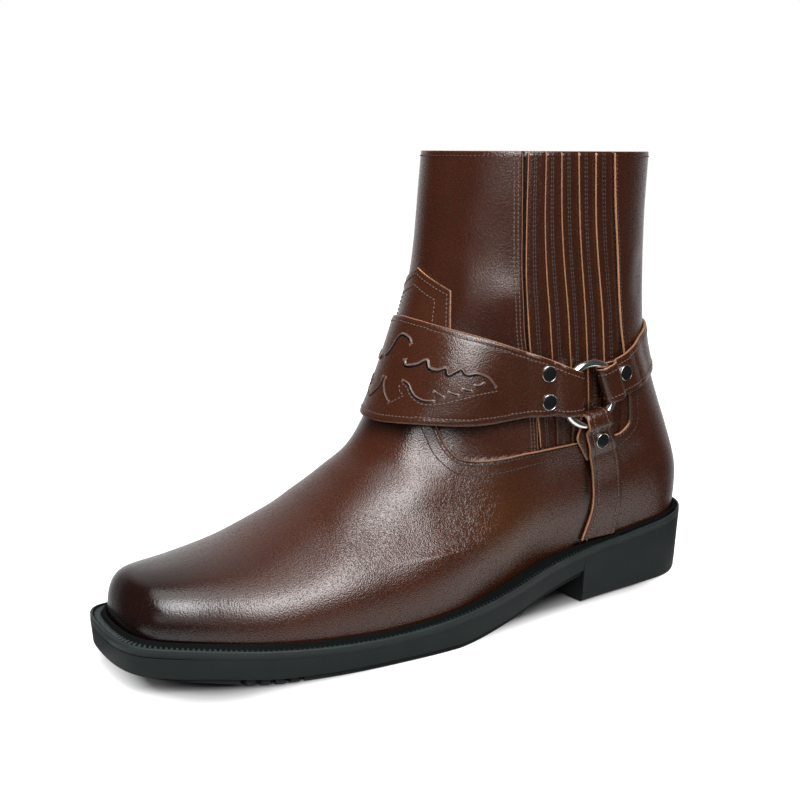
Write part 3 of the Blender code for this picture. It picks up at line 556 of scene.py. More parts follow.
def matte(name, colour, roughness):
    """Plain matte leather of one colour, with faint clouds that break its evenness."""
    made, shader = new_finish(name)
    tree = made.node_tree
    place = add_node(tree, "ShaderNodeTexCoord").outputs["Object"]
    cloud = add_node(tree, "ShaderNodeTexNoise", {
        "Vector": place, "Scale": 1 / (LINING_CLOUD * MM), "Detail": 4.0})
    shade = add_node(tree, "ShaderNodeMapRange", {
        "Value": cloud.outputs["Fac"], "To Min": 0.0, "To Max": 0.35})
    darker = [part * 0.6 for part in srgb(colour)[:3]] + [1.0]
    clouded = add_node(tree, "ShaderNodeMix", {
        0: shade.outputs["Result"], 6: srgb(colour), 7: darker}, data_type="RGBA").outputs[2]
    set_inputs(shader, {"Base Color": clouded, "Roughness": roughness})
    return made


LINING = matte("lining_leather", "#6f4a30", 0.7)
lining_faces = grid_quads(*lining_wall.shape[:2], closed_rows=True)[:, ::-1]
lining = add_piece("lining", lining_wall, lining_faces, [LINING])
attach(lining, "root")

# Raw edges of the upper
# The cut edge of the vamp and heel panel, and that of the shaft's front panel, as thin tan bands.
# The leather is left as it was cut, and is darker where the edge was dyed and where shade under the straps is
# painted on it.
EDGE_WIDTH = 0.75
PANEL_EDGE_WIDTH = 0.45
PANEL_DYE = 0.6
EDGE_COLUMNS = 7


def edge_band(line, side, lift, width, rise):
    """Half round band along a line in side view: its profile swells by rise above its lift."""
    ahead = np.gradient(line, axis=0)
    ahead /= np.linalg.norm(ahead, axis=-1, keepdims=True)
    lift = np.broadcast_to(lift, len(line))
    rows = []
    for share in np.linspace(-1, 1, EDGE_COLUMNS):
        x = line[:, 0] - ahead[:, 1] * share * width / 2
        z = line[:, 1] + ahead[:, 0] * share * width / 2
        rows.append(side_point(x, z, side, lift + rise * math.sqrt(max(1 - share * share, 0))))
    return np.stack(rows, 1)


def joined(grids):
    """Points and quads of several grids as one mesh."""
    points = []
    quads = []
    count = 0
    for grid, flip in grids:
        faces = grid_quads(*grid.shape[:2])
        quads.append((faces[:, ::-1] if flip else faces) + count)
        points.append(grid.reshape(-1, 3))
        count += grid.shape[0] * grid.shape[1]
    return np.concatenate(points), np.concatenate(quads)


edge_grids = []
edge_dye_and_shade = []
# The seam's edge lies higher over the gore, and is dyed and painted dark with shade under the straps and at
# its front end
seam_x, seam_z = SEAM_LINE.T
gore_part = ease((120 - seam_x) / 10)
upright = ease((seam_z - 84) / 3) * ease((112 - seam_z) / 6) * ease((100 - seam_x) / 10)
seam_dye_and_shade = 0.35 * ease((seam_x - 70) / 20) + 0.4 * ease((seam_x - 138) / 8) + 0.9 * upright
for side in (1, -1):
    edge_grids.append((edge_band(SEAM_LINE, side, 0.35 + 0.9 * gore_part, EDGE_WIDTH, 0.75), side < 0))
    edge_dye_and_shade.append(np.repeat(seam_dye_and_shade, EDGE_COLUMNS))
    panel_height = 0.2 + crease_height(*PANEL_LINE.T)
    edge_grids.append((edge_band(PANEL_LINE, side, panel_height, PANEL_EDGE_WIDTH, 0.6), side < 0))
    edge_dye_and_shade.append(np.full(len(PANEL_LINE) * EDGE_COLUMNS, PANEL_DYE))
edges = add_piece(
    "upper_raw_edges", *joined(edge_grids), [TAN_EDGE], values={"dye_and_shade": np.concatenate(edge_dye_and_shade)})
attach(edges, "root")

# Gore pleats
# Five overlapping leather strips fill each side's gore, each with a raw tan edge at its front.
# They are sewn on with two rows of thread, and their feet run under the vamp's edge.
# Front edge of each pleat, and the rear edge of the last one: x at the pleats' heights
PLEAT_EDGES = (
    (117.4, 117.6, 116.0, 108.0),
    (110.0, 109.6, 105.4, 98.6),
    (103.0, 101.6, 95.6, 89.8),
    (94.6, 92.4, 86.0, 81.0),
    (85.4, 83.4, 76.2, 72.0),
    (74.2, 71.6, 64.8, 61.4),
)
PLEAT_HEIGHTS = (208.8, 180.0, 131.0, 79.0)
PLEAT_LIFT = 0.4
PLEAT_FRONT = 1.2
PLEAT_ROOT = -0.2
# Profile across a pleat: share of its width and of its rise, with the raw edge as its first part
PLEAT_PROFILE = (
    (0.0, 0.0), (-0.012, 0.55), (0.015, 0.95), (0.07, 1.02), (0.16, 1.0), (0.3, 0.9), (0.36, 0.78),
    (0.41, 0.84), (0.5, 0.72), (0.75, 0.5), (1.0, 0.4), (1.0, 0.0))
RAW_COLUMNS = 2


def even_finish(shape, burnish_and_shade, warm, wrinkle):
    """Point values of leather that is finished the same all over."""
    amounts = {"burnish_and_shade": burnish_and_shade, "warm": warm, "wrinkle": wrinkle}
    return {label: np.full(shape, amount) for label, amount in amounts.items()}


pleat_z = np.linspace(PLEAT_HEIGHTS[0], PLEAT_HEIGHTS[-1], 90)
pleat_lines = [curve(PLEAT_HEIGHTS, row, pleat_z) for row in PLEAT_EDGES]
# The pleats flatten to their feet
pleat_sink = 0.35 + 0.65 * ease((pleat_z - PLEAT_HEIGHTS[-1]) / 10)
# Below the instep strap the edges are painted dark as shade, but for the first one's
pleat_shade = 0.9 * ease((100 - np.append(pleat_z[:1], pleat_z)) / 6)
for side, side_name in ((1, "lateral"), (-1, "medial")):
    for number in range(len(pleat_lines) - 1):
        front = pleat_lines[number]
        span = pleat_lines[number + 1] - front
        rows = []
        for across, rise in PLEAT_PROFILE:
            height = PLEAT_LIFT + PLEAT_FRONT * rise * pleat_sink
            line = side_point(front + span * across, pleat_z, side, height)
            root = side_point(front[:1] + span[:1] * across, pleat_z[:1], side, PLEAT_ROOT)
            rows.append(np.concatenate([root, line]))
        grid = np.stack(rows, 1)
        faces = grid_quads(*grid.shape[:2])
        slots = np.tile(np.arange(grid.shape[1] - 1) < RAW_COLUMNS, grid.shape[0] - 1).astype(int)
        values = even_finish(grid.shape[:2], 0.3, 0.05, 0.1)
        values["dye_and_shade"] = np.repeat(pleat_shade * (number > 0), grid.shape[1])
        pleat = add_piece(
            f"gore_strip_{side_name}_{number + 1}", grid, faces[:, ::-1] if side > 0 else faces,
            [UPPER_LEATHER, TAN_EDGE], slots, values)
        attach(pleat, "root")
        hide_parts(f"gore_pleat_{side_name}_{number + 1}")

# Front tab
# House-shaped patch of the same leather on the front of the shaft, its foot under the instep strap.
# It is sewn on with two rows of thread, and its raw edge shows all round.
TAB_LIFT = 0.6
TAB_THICK = 1.2
TAB_APEX = 158.4
TAB_SHOULDER = 149.6
TAB_FOOT = 128.0
TAB_ANGLE = 16.5
TAB_SPREAD = 2.6


def wrap_bare(angle, z):
    """Point of the upper at an angle from the front about the shaft's axis, found by halving."""
    angle, z = np.broadcast_arrays(np.asarray(angle, float), np.asarray(z, float))
    side = np.where(np.sin(angle) >= 0, 1, -1)
    low = np.full(angle.shape, 5.0)
    high = np.full(angle.shape, 150.0)
    for _ in range(34):
        middle = (low + high) / 2
        half = upper_half(SHAFT_AXIS + middle * np.cos(angle), z, side)
        inside = middle * np.abs(np.sin(angle)) < half - 1e-9
        low = np.where(inside, middle, low)
        high = np.where(inside, high, middle)
    return np.stack([SHAFT_AXIS + low * np.cos(angle), low * np.sin(angle), z], -1)


def wrap_point(angle, z, lift):
    """Point on the upper at an angle from the front, raised by lift along its normal."""
    angle, z = np.broadcast_arrays(np.asarray(angle, float), np.asarray(z, float))
    step = 0.02
    round_way = wrap_bare(angle + step, z) - wrap_bare(angle - step, z)
    up_way = wrap_bare(angle, z + 0.5) - wrap_bare(angle, z - 0.5)
    normal = np.cross(round_way, up_way)
    normal /= np.linalg.norm(normal, axis=-1, keepdims=True)
    return wrap_bare(angle, z) + normal * np.asarray(lift)[..., None]


# Share of its thickness by which a strap's cut edge swells out
EDGE_SWELL = 0.22


def slab(name, middle, thickness, relief, materials, values=(), dye_and_shade=(0.0, 0.0)):
    """Closed sheet about a grid of middle points: faces, rounded long edges and ends of raw leather.

    Each row is a loop: the outside across, a swollen edge, the inside back and the other edge.
    Relief raises the outside; dye_and_shade gives how dark the first and the last long edge are.
    """
    out = grid_normals(middle)
    outside = middle + out * (thickness / 2 + relief)[..., None]
    inside = middle - out * thickness / 2
    spread = middle[:, -1] - middle[:, 0]
    spread /= np.linalg.norm(spread, axis=-1, keepdims=True)
    first = middle[:, 0] - spread * EDGE_SWELL * thickness
    last = middle[:, -1] + spread * EDGE_SWELL * thickness
    rows, columns = middle.shape[:2]
    loops = np.concatenate([outside, last[:, None], inside[:, ::-1], first[:, None]], 1)
    around = loops.shape[1]
    faces = grid_quads(rows, around, closed_columns=True)
    slots = np.zeros(around, int)
    slots[[columns - 1, columns, around - 2, around - 1]] = 1
    slots = np.tile(slots, rows - 1)
    j = np.arange(columns - 1)
    cap = np.stack([j, j + 1, 2 * columns - j - 1, 2 * columns - j], -1)
    caps = np.concatenate([cap[:, ::-1], cap + (rows - 1) * around])
    tint = np.zeros((rows, around))
    tint[:, columns - 1:columns + 2] = dye_and_shade[1]
    tint[:, [0, -2, -1]] = dye_and_shade[0]
    piece_values = {"dye_and_shade": tint}
    for label, grid in dict(values).items():
        piece_values[label] = np.concatenate([grid, grid[:, -1:], grid[:, ::-1], grid[:, :1]], 1)
    piece = add_piece(
        name, loops, np.concatenate([faces, caps]), materials,
        np.concatenate([slots, np.ones(len(caps), int)]), piece_values)
    return piece, outside, out


# Thread rows of the whole boot, gathered here and made at the end: points, how dark, and grooves
STITCHES = []
STITCH_DYES = []
STITCH_GROOVES = []
STITCH_PITCH = 1.9
STITCH_HALF = 0.39 * STITCH_PITCH
THREAD_RADIUS = 0.3
THREAD_RISE = 0.1
THREAD_SIDES = 6
# Rings of a stitch: share of its half length and of the thread's radius
STITCH_RINGS = ((-0.62, 0.8), (0.0, 1.0), (0.62, 0.8))
GROOVE_HALF = 0.28
GROOVE_DROP = 0.06


def stitch_row(points, outward, dye_and_shade=0.0):
    """Adds one row of stitches along a line of surface points: capsules laid end to end in the leather."""
    along = path_length(points)
    at = np.arange(STITCH_PITCH / 2, along[-1], STITCH_PITCH)
    centre = np.stack([np.interp(at, along, part) for part in points.T], -1)
    out = np.stack([np.interp(at, along, part) for part in outward.T], -1)
    ahead = np.stack([np.interp(at, along, part) for part in np.gradient(points, axis=0).T], -1)
    ahead /= np.maximum(np.linalg.norm(ahead, axis=-1, keepdims=True), 1e-9)
    across = np.cross(out, ahead)
    across /= np.maximum(np.linalg.norm(across, axis=-1, keepdims=True), 1e-9)
    out = np.cross(ahead, across)
    centre = centre + out * THREAD_RISE
    rings = [centre[:, None] - (ahead * STITCH_HALF)[:, None]]
    turn = np.linspace(0, 2 * np.pi, THREAD_SIDES, endpoint=False)
    ring = across[:, None] * np.cos(turn)[None, :, None] + out[:, None] * np.sin(turn)[None, :, None]
    for place, size in STITCH_RINGS:
        rings.append((centre + ahead * STITCH_HALF * place)[:, None] + ring * THREAD_RADIUS * size)
    rings.append(centre[:, None] + (ahead * STITCH_HALF)[:, None])
    STITCHES.append(np.concatenate(rings, 1))
    STITCH_DYES.append(np.full(STITCHES[-1].shape[:2], dye_and_shade))
    # Under each stitch lies a dark strip, a painted shade of its groove
    groove = np.stack([centre + across * GROOVE_HALF, centre - across * GROOVE_HALF], 1)
    STITCH_GROOVES.append((groove - (out * GROOVE_DROP)[:, None], False))


def side_row(line, side, lift, dye_and_shade=0.0):
    """Row of stitches along a line in side view, on leather raised by lift above the form."""
    low = side_point(line[:, 0], line[:, 1], side, lift)
    high = side_point(line[:, 0], line[:, 1], side, np.asarray(lift) + 1)
    stitch_row(low, high - low, dye_and_shade)


def moved_line(line, aside):
    """Line in side view moved to the left of its run."""
    ahead = np.gradient(line, axis=0)
    ahead /= np.linalg.norm(ahead, axis=-1, keepdims=True)
    return line + np.stack([-ahead[:, 1], ahead[:, 0]], -1) * np.asarray(aside)[..., None]


def tab_angle(share, z):
    """Angle from the front of a place in the tab, which spreads a little from its shoulders to its foot."""
    spread = TAB_SPREAD * np.clip((TAB_SHOULDER - z) / (TAB_SHOULDER - TAB_FOOT), 0, 1)
    return np.radians(TAB_ANGLE + spread) * share


tab_share = np.linspace(-1, 1, 61)
tab_top = TAB_APEX - (TAB_APEX - TAB_SHOULDER) * np.abs(tab_share)
tab_rise = np.linspace(0, 1, 28)[:, None]
tab_z = TAB_FOOT + (tab_top[None] - TAB_FOOT) * tab_rise
tab_middle = wrap_point(tab_angle(tab_share[None], tab_z), tab_z, TAB_LIFT + TAB_THICK / 2)
tab_relief = np.zeros(tab_middle.shape[:2])
tab_values = even_finish(tab_middle.shape[:2], 0.1, 0.1, 0.1)
tab = slab("front_patch", tab_middle, TAB_THICK, tab_relief, [UPPER_LEATHER, TAN_EDGE], tab_values)[0]
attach(tab, "root")
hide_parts("front_tab")
# Two rows of stitches follow the tab's outline: their share of its half breadth and their drop below its top
TAB_ROWS = ((0.92, 2.6), (0.66, 7.6))
for row_share, row_drop in TAB_ROWS:
    row_top = TAB_APEX - row_drop - (TAB_APEX - TAB_SHOULDER) * row_share
    upright = np.linspace(TAB_FOOT, row_top, 40)
    roof_share = np.linspace(-row_share, row_share, 80)
    roof = TAB_APEX - row_drop - (TAB_APEX - TAB_SHOULDER) * np.abs(roof_share)
    for row_angle, row_z in ((-row_share, upright), (roof_share, roof), (row_share, upright)):
        row_angle = tab_angle(row_angle, row_z)
        low = wrap_point(row_angle, row_z, np.full(len(row_z), TAB_LIFT + TAB_THICK))
        high = wrap_point(row_angle, row_z, np.full(len(row_z), TAB_LIFT + TAB_THICK + 1))
        stitch_row(low, high - low)

# Harness straps
# Straps of the same leather with raw edges: a wide one over the instep, one round the heel and one down
# to the welt on each side, each folded round its ring, riveted, and stitched along both edges.
STRAP_THICK = 1.6
STRAP_LIFT = 2.0
LOW_LIFT = 0.5
RING_RADIUS = 14.2
WIRE_RADIUS = 1.8
RING_X = 85.8
RING_Z = 102.5
RING_HEIGHT = STRAP_LIFT + STRAP_THICK + GAP + WIRE_RADIUS
RIB_HEIGHT = 2.2
LAYER_GAP = 0.25
RIVET_SEAT = STRAP_LIFT + 2 * STRAP_THICK + LAYER_GAP
FRONT_STRAP_COLUMNS = ("share", "top", "bottom")
FRONT_STRAP = ((0.0, 136.4, 92.6), (0.15, 135.6, 92.4), (0.52, 131.4, 92.0))
BACK_STRAP_COLUMNS = ("share", "top", "bottom")
BACK_STRAP = ((0.5, 127.4, 106.6), (1.0, 131.0, 110.0))
DOWN_STRAP_COLUMNS = ("z", "front", "rear")
DOWN_STRAP = ((60.0, 76.3, 59.0), (44.0, 75.2, 57.0), (28.6, 79.6, 58.6))
FOLD_LEAD = 31.0
FOLD_HEADINGS = {"front": -3.0, "back": 157.5, "down": 260.0}
FOLD_BENDS = {"front": 7.8, "back": 10.4, "down": 11.4}
# Ends of the folds' inner layers: their run and height, and what they stand out on the left and right
FOLD_TAILS = {
    "front": (24.0, 2.8, (-1.5, -1.5), -1.5),
    "back": (24.0, 2.8, (-1.5, -1.5), -1.5),
    "down": (33.0, 1.4, (5.0, 0.6), -1.5),
}
FOLD_COLUMNS = ("run", "front_left", "front_right", "back_left", "back_right", "down_left", "down_right")
FOLD_EDGES = (
    (0.0, 8.6, 8.2, 8.2, 8.4, 4.0, 6.6),
    (12.0, 13.2, 7.8, 8.6, 8.2, 4.2, 8.4),
    (20.0, 18.2, 7.0, 10.8, 7.2, 2.4, 12.2),
    (31.0, 22.4, 6.6, 13.0, 6.2, 0.0, 16.3),
)
STITCH_INSET = 2.6
STRAP_LEATHER = leather("brown_strap_leather", "#260e06", "#33170a", "#060303", "#3b1c08", 0.65, 0.2)


def fold_place(strap, run, aside):
    """Side view x and z of a point that lies run along a strap from the ring and aside of its middle."""
    heading = math.radians(FOLD_HEADINGS[strap])
    x = RING_X + run * math.cos(heading) - aside * math.sin(heading)
    z = RING_Z + run * math.sin(heading) + aside * math.cos(heading)
    return x, z


def fold_rows(strap, side, across, lead_height, count=64):
    """Rows of a strap end folded round the ring, from the outer layer's start to the inner layer's end.

    The outer layer climbs over the wire, turns half a circle at the bend and runs back under it.
    """
    seat = STRAP_LIFT + STRAP_THICK / 2
    second = seat + STRAP_THICK + LAYER_GAP
    turn = RING_HEIGHT - seat
    half_circle = np.linspace(np.pi / 2, -np.pi / 2, 15)
    run = [FOLD_LEAD, FOLD_LEAD - 5, RING_RADIUS + 3.7, RING_RADIUS + 3.0, RING_RADIUS + 1.8, RING_RADIUS]
    climb = [lead_height, second, second, RING_HEIGHT + 0.8, RING_HEIGHT + 2.5, RING_HEIGHT + turn]
    run += list(FOLD_BENDS[strap] - turn * np.cos(half_circle))
    climb += list(RING_HEIGHT + turn * np.sin(half_circle))
    outer = len(run)
    tail_run, tail_height, tail_left, tail_right = FOLD_TAILS[strap]
    run += [RING_RADIUS, RING_RADIUS + 6, tail_run]
    climb += [seat, seat, tail_height]
    knots = column(FOLD_EDGES, FOLD_COLUMNS, "run")
    left = np.interp(run, knots, column(FOLD_EDGES, FOLD_COLUMNS, strap + "_left"))
    right = np.interp(run, knots, column(FOLD_EDGES, FOLD_COLUMNS, strap + "_right"))
    left[outer + 1:] += tail_left
    right[outer + 1:] += tail_right
    lines = np.stack([run, climb, left, right], -1)
    along = path_length(lines[:, :2])
    at = np.linspace(0, along[-1], count)
    fine = np.stack([np.interp(at, along, line) for line in lines.T], -1)
    for _ in range(4):
        fine[1:-1] = (fine[:-2] + 2 * fine[1:-1] + fine[2:]) / 4
    run, climb, left, right = (part[:, None] for part in fine.T)
    x, z = fold_place(strap, run, left * across[None] - right * (1 - across[None]))
    return side_point(x, z, side, climb), x[0], z[0]


def strap_heights(table, names, lead_share, lead_z, share, across):
    """Heights across a strap: a curve for each line along it, through its table and its fold's start."""
    knots = np.append(column(table, names, "share"), lead_share)
    tops = column(table, names, "top")
    bottoms = column(table, names, "bottom")
    lines = []
    for part, start in zip(across, lead_z):
        lines.append(curve(knots, np.append(bottoms * (1 - part) + tops * part, start), share))
    return np.stack(lines, -1)


def side_angle(x, z):
    """Angle from the front of the point of the upper's lateral side at x and z."""
    return np.arctan2(upper_half(x, z, 1), x - SHAFT_AXIS)


def across_length(grid):
    """Running length across each row of a grid."""
    steps = np.linalg.norm(np.diff(grid, axis=1), axis=-1)
    return np.concatenate([np.zeros((len(grid), 1)), np.cumsum(steps, 1)], 1)


def edge_relief(grid):
    """Relief along a strap's long edges: a rounded lip and the shallow trough of a stitch row."""
    from_first = across_length(grid)
    from_last = from_first[:, -1:] - from_first
    edge = np.minimum(from_first, from_last)
    return -0.25 * np.exp(-(edge / 0.6) ** 2) - 0.1 * np.exp(-((edge - STITCH_INSET) / 0.6) ** 2)


def edge_stitches(face, out, first, last):
    """Stitch rows along both long edges of a strap's face, between two of its rows."""
    from_first = across_length(face)
    from_last = from_first[:, -1:] - from_first
    for measure in (from_first, from_last):
        nearest = np.argmin(np.abs(measure - STITCH_INSET), axis=1)
        rows = np.arange(first, last)
        stitch_row(face[rows, nearest[rows]], out[rows, nearest[rows]])


# Height of the instep strap's crown and its place across, spring of its lower edge, and sink at the front
FRONT_CROWN = 1.8
FRONT_PEAK = 0.45
FRONT_SPRING = 4.4
FRONT_SINK = 1.6
FRONT_DYES = (0.72, 0.4)
# Rows of a fold that its edge stitches still follow
FOLD_STITCHED = 40
front_across = np.linspace(0, 1, 96)
front_height = STRAP_LIFT + STRAP_THICK / 2
front_fold, lead_x, lead_z = fold_rows("front", 1, front_across, front_height)
front_fold_medial = fold_rows("front", -1, front_across, front_height)[0]
front_turn = np.linspace(1, -1, 302)[1:-1]
front_z = strap_heights(FRONT_STRAP, FRONT_STRAP_COLUMNS, 1.0, lead_z, np.abs(front_turn), front_across)
# The lower edge hugs the front and springs off the vamp on the outer side, where the strap is crowned
front_round = np.abs(front_turn)[:, None]
front_sides = ease((front_turn[:, None] - 0.05) / 0.4) * ease((0.85 - front_round) / 0.35)
front_spring = FRONT_SPRING * front_sides * (1 - front_across[None])
front_spring -= FRONT_SINK * ease(1 - front_round / 0.35) * (1 - front_across[None]) ** 2
front_middle = wrap_point(
    front_turn[:, None] * side_angle(lead_x, lead_z)[None], front_z, front_height + front_spring)
front_grid = np.concatenate([front_fold[::-1], front_middle, front_fold_medial])
front_crown = np.zeros(front_grid.shape[:2])
from_peak = np.where(
    front_across > FRONT_PEAK, (front_across - FRONT_PEAK) / (1 - FRONT_PEAK), 1 - front_across / FRONT_PEAK)
front_crown[len(front_fold):-len(front_fold)] = FRONT_CROWN * front_sides * (1 - from_peak ** 2)[None]
front_relief = edge_relief(front_grid) + front_crown
front_values = even_finish(front_relief.shape, 0.15, 0.15, 0.12)
front_strap, front_face, front_out = slab(
    "instep_strap", front_grid, STRAP_THICK, front_relief, [STRAP_LEATHER, TAN_EDGE], front_values,
    FRONT_DYES)
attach(front_strap, "root")
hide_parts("front_strap")
edge_stitches(
    front_face, front_out, len(front_fold) - FOLD_STITCHED, len(front_grid) - len(front_fold) + FOLD_STITCHED)

# Tooled leaf on each side of the instep strap
# Raised lines pressed into the leather, each with a groove on its right that is painted dark as shade, over a
# row of stitches.
# A line has its scale and its points: the run from the strap's front, and the rise from its lower edge.
LEAF_LINES = (
    (1.0, ((9.9, 28.7), (10.6, 26.2), (17.0, 26.2), (21.8, 28.0), (23.4, 24.8), (27.1, 23.9), (31.4, 24.8),
           (32.2, 22.2), (35.0, 23.5), (38.2, 24.8), (39.6, 23.1), (45.8, 22.8), (50.7, 20.4), (54.3, 15.7))),
    (0.6, ((11.6, 18.9), (15.3, 17.4), (17.4, 14.5), (19.4, 12.2), (22.4, 10.6), (27.4, 10.6))),
    (0.7, ((1.4, 19.6), (1.0, 17.0), (2.6, 13.6), (5.4, 10.6), (8.8, 8.2))),
    (0.5, ((26.4, 15.1), (31.4, 12.4))),
    (0.5, ((32.2, 15.1), (37.4, 13.6))),
    (0.5, ((38.0, 16.6), (43.0, 15.5))),
    (0.5, ((43.2, 18.1), (46.0, 17.8), (48.8, 19.0))),
)
# Stem over the strap's front, between the two leaves
LEAF_STEM = (
    (0.9, ((-6.6, 28.0), (-4.6, 29.0), (-2.6, 31.4), (-1.0, 34.6), (0.4, 37.8), (2.6, 39.3), (5.6, 39.1),
           (9.2, 37.4), (11.0, 35.0))),
)
LEAF_STITCHES = (
    ((55.2, 14.4), (45.7, 13.8), (38.8, 12.2), (32.7, 10.4), (27.3, 8.9), (22.0, 8.9), (18.2, 11.4),
     (14.4, 16.2), (11.6, 17.5)),
    ((11.0, 16.7), (12.2, 13.9), (14.5, 11.9), (11.6, 9.8), (8.8, 7.8)),
)
# Profile across a line: distance to its left, height, and how dark it is painted as shade
LEAF_PROFILE = (
    (1.0, -0.1, 0.6), (0.6, 0.1, 0.5), (0.32, 0.4, 0.2), (0.1, 0.58, 0.0), (-0.12, 0.56, 0.15),
    (-0.24, 0.28, 0.8), (-0.38, 0.02, 1.0), (-0.9, 0.0, 1.0), (-1.5, -0.05, 0.7))
LEAF_STEP = 0.35
LEAF_TAPER = 1.6
LEAF_SEAT = 0.05
run_at_row = path_length(front_face[:, len(front_across) // 2])
run_at_row -= run_at_row[-1] / 2
breadth_at_row = across_length(front_face)[:, -1]


def between(grid, row, place):
    """Value of a grid between its points, by the shares of the four nearest ones."""
    i = row.astype(int)
    j = place.astype(int)
    a = (row - i)[:, None]
    b = (place - j)[:, None]
    near = (1 - b) * grid[i, j] + b * grid[i, j + 1]
    far = (1 - b) * grid[i + 1, j] + b * grid[i + 1, j + 1]
    return (1 - a) * near + a * far


def on_strap(points, side):
    """Line of points on the instep strap's face and the face's normals, from runs and rises."""
    length = path_length(np.asarray(points, float))[-1]
    run, rise = smooth_path(points, int(length / LEAF_STEP)).T
    row = np.interp(-side * run, run_at_row, np.arange(len(run_at_row)))
    place = rise / np.interp(row, np.arange(len(run_at_row)), breadth_at_row) * (len(front_across) - 1)
    return between(front_face, row, place), between(front_out, row, place)


leaf_grids = []
leaf_dark = []
left, height, dark = np.array(LEAF_PROFILE).T
for side in (1, -1):
    for scale, points in LEAF_LINES + LEAF_STEM if side > 0 else LEAF_LINES:
        line, out = on_strap(points, side)
        ahead = np.gradient(line, axis=0)
        leftward = side * np.cross(out, ahead)
        leftward /= np.linalg.norm(leftward, axis=-1, keepdims=True)
        along = path_length(line)
        taper = ease(along / LEAF_TAPER) * ease((along[-1] - along) / LEAF_TAPER)
        rise = LEAF_SEAT + scale * height[None] * taper[:, None]
        aside = leftward[:, None] * scale * left[None, :, None]
        leaf_grids.append((line[:, None] + aside + out[:, None] * rise[..., None], side < 0))
        leaf_dark.append((dark[None] * taper[:, None]).ravel())
    for points in LEAF_STITCHES:
        stitch_row(*on_strap(points, side))
# The ridges are painted pale as a highlight, so that they stand out from their grooves, which are painted
# black as shade
LEAF_LEATHER = leather("leaf_leather_painted_highlight", "#4e3a33", "#5c463e", "#040303", "#4e3a33", 0.8, 0.2)
leaf_values = {"burnish_and_shade": np.concatenate(leaf_dark)}
leaf = add_piece("tooled_leaf", *joined(leaf_grids), [LEAF_LEATHER], values=leaf_values)
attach(leaf, "root")

# Heel and down straps
# The heel strap runs round the back, and the down straps run to the welt, both folded round the rings.
# They are cut from the instep strap's leather, stitched along both edges and riveted at the folds.
FOLD_CLIMB = 2.0
BACK_DYES = (0.3, 0.3)
DOWN_DYE = 0.8
FOOT_GAP = 0.6
back_across = np.linspace(0, 1, 40)
back_height = LOW_LIFT + STRAP_THICK / 2
back_fold, lead_x, lead_z = fold_rows("back", 1, back_across, back_height + FOLD_CLIMB)
back_fold_medial = fold_rows("back", -1, back_across, back_height + FOLD_CLIMB)[0]
back_turn = np.linspace(0, 2, 182)[1:-1]
back_share = 1 - np.abs(1 - back_turn)
back_z = strap_heights(BACK_STRAP, BACK_STRAP_COLUMNS, 0.0, lead_z, back_share, 1 - back_across)
lead_angle = side_angle(lead_x, lead_z)[None]
back_climb = back_height + FOLD_CLIMB * ease(1 - back_share[:, None] / 0.3)
back_middle = wrap_point(lead_angle + (np.pi - lead_angle) * back_turn[:, None], back_z, back_climb)
back_grid = np.concatenate([back_fold[::-1], back_middle, back_fold_medial])
back_relief = edge_relief(back_grid)
back_values = even_finish(back_relief.shape, 0.15, 0.1, 0.12)
back_strap, back_face, back_out = slab(
    "heel_strap", back_grid, STRAP_THICK, back_relief, [STRAP_LEATHER, TAN_EDGE], back_values, BACK_DYES)
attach(back_strap, "root")
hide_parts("back_strap")
edge_stitches(
    back_face, back_out, len(back_fold) - FOLD_STITCHED, len(back_grid) - len(back_fold) + FOLD_STITCHED)

for side, side_name in ((1, "lateral"), (-1, "medial")):
    down_across = np.linspace(0, 1, 36)
    fold, lead_x, lead_z = fold_rows("down", side, down_across, back_height + FOLD_CLIMB)
    foot = feather_height(70.0) + RIB_HEIGHT + FOOT_GAP
    share = np.linspace(0, 1, 60)[1:, None]
    low_z = lead_z[None] + (foot - lead_z[None]) * share
    knots = column(DOWN_STRAP, DOWN_STRAP_COLUMNS, "z")
    fronts = column(DOWN_STRAP, DOWN_STRAP_COLUMNS, "front")
    rears = column(DOWN_STRAP, DOWN_STRAP_COLUMNS, "rear")
    lines = []
    for part, start_x, start_z, line in zip(down_across, lead_x, lead_z, low_z.T):
        edge = fronts * part + rears * (1 - part)
        lines.append(curve(np.append(knots, start_z), np.append(edge, start_x), line))
    low = side_point(np.stack(lines, -1), low_z, side, back_height + FOLD_CLIMB * ease(1 - share / 0.4))
    down_grid = np.concatenate([fold[::-1], low])
    down_relief = edge_relief(down_grid)
    down_values = even_finish(down_relief.shape, 0.12, 0.1, 0.3)
    # The rear edge is the dyed one; on the medial side it is the last
    turned = down_grid if side > 0 else down_grid[:, ::-1]
    dye_and_shade = (DOWN_DYE, 0.0) if side > 0 else (0.0, DOWN_DYE)
    down_strap, down_face, down_out = slab(
        f"down_strap_leather_{side_name}", turned, STRAP_THICK, down_relief, [STRAP_LEATHER, TAN_EDGE],
        down_values, dye_and_shade)
    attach(down_strap, "root")
    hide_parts(f"down_strap_{side_name}")
    edge_stitches(down_face, down_out, len(fold) - FOLD_STITCHED, len(down_grid))

# Rings
# Bright nickel-plated rings of round wire that join the three straps on each side.
# They are bent, welded and polished, and only the folds of the straps hold them.
RING_TURNS = 96
WIRE_TURNS = 24


def metal(name, colour, roughness):
    """Plated metal: a slightly soft mirror, white where a soft box shows in it and dark beside that."""
    made, shader = new_finish(name)
    set_inputs(shader, {"Base Color": srgb(colour), "Metallic": 1.0, "Roughness": roughness})
    return made


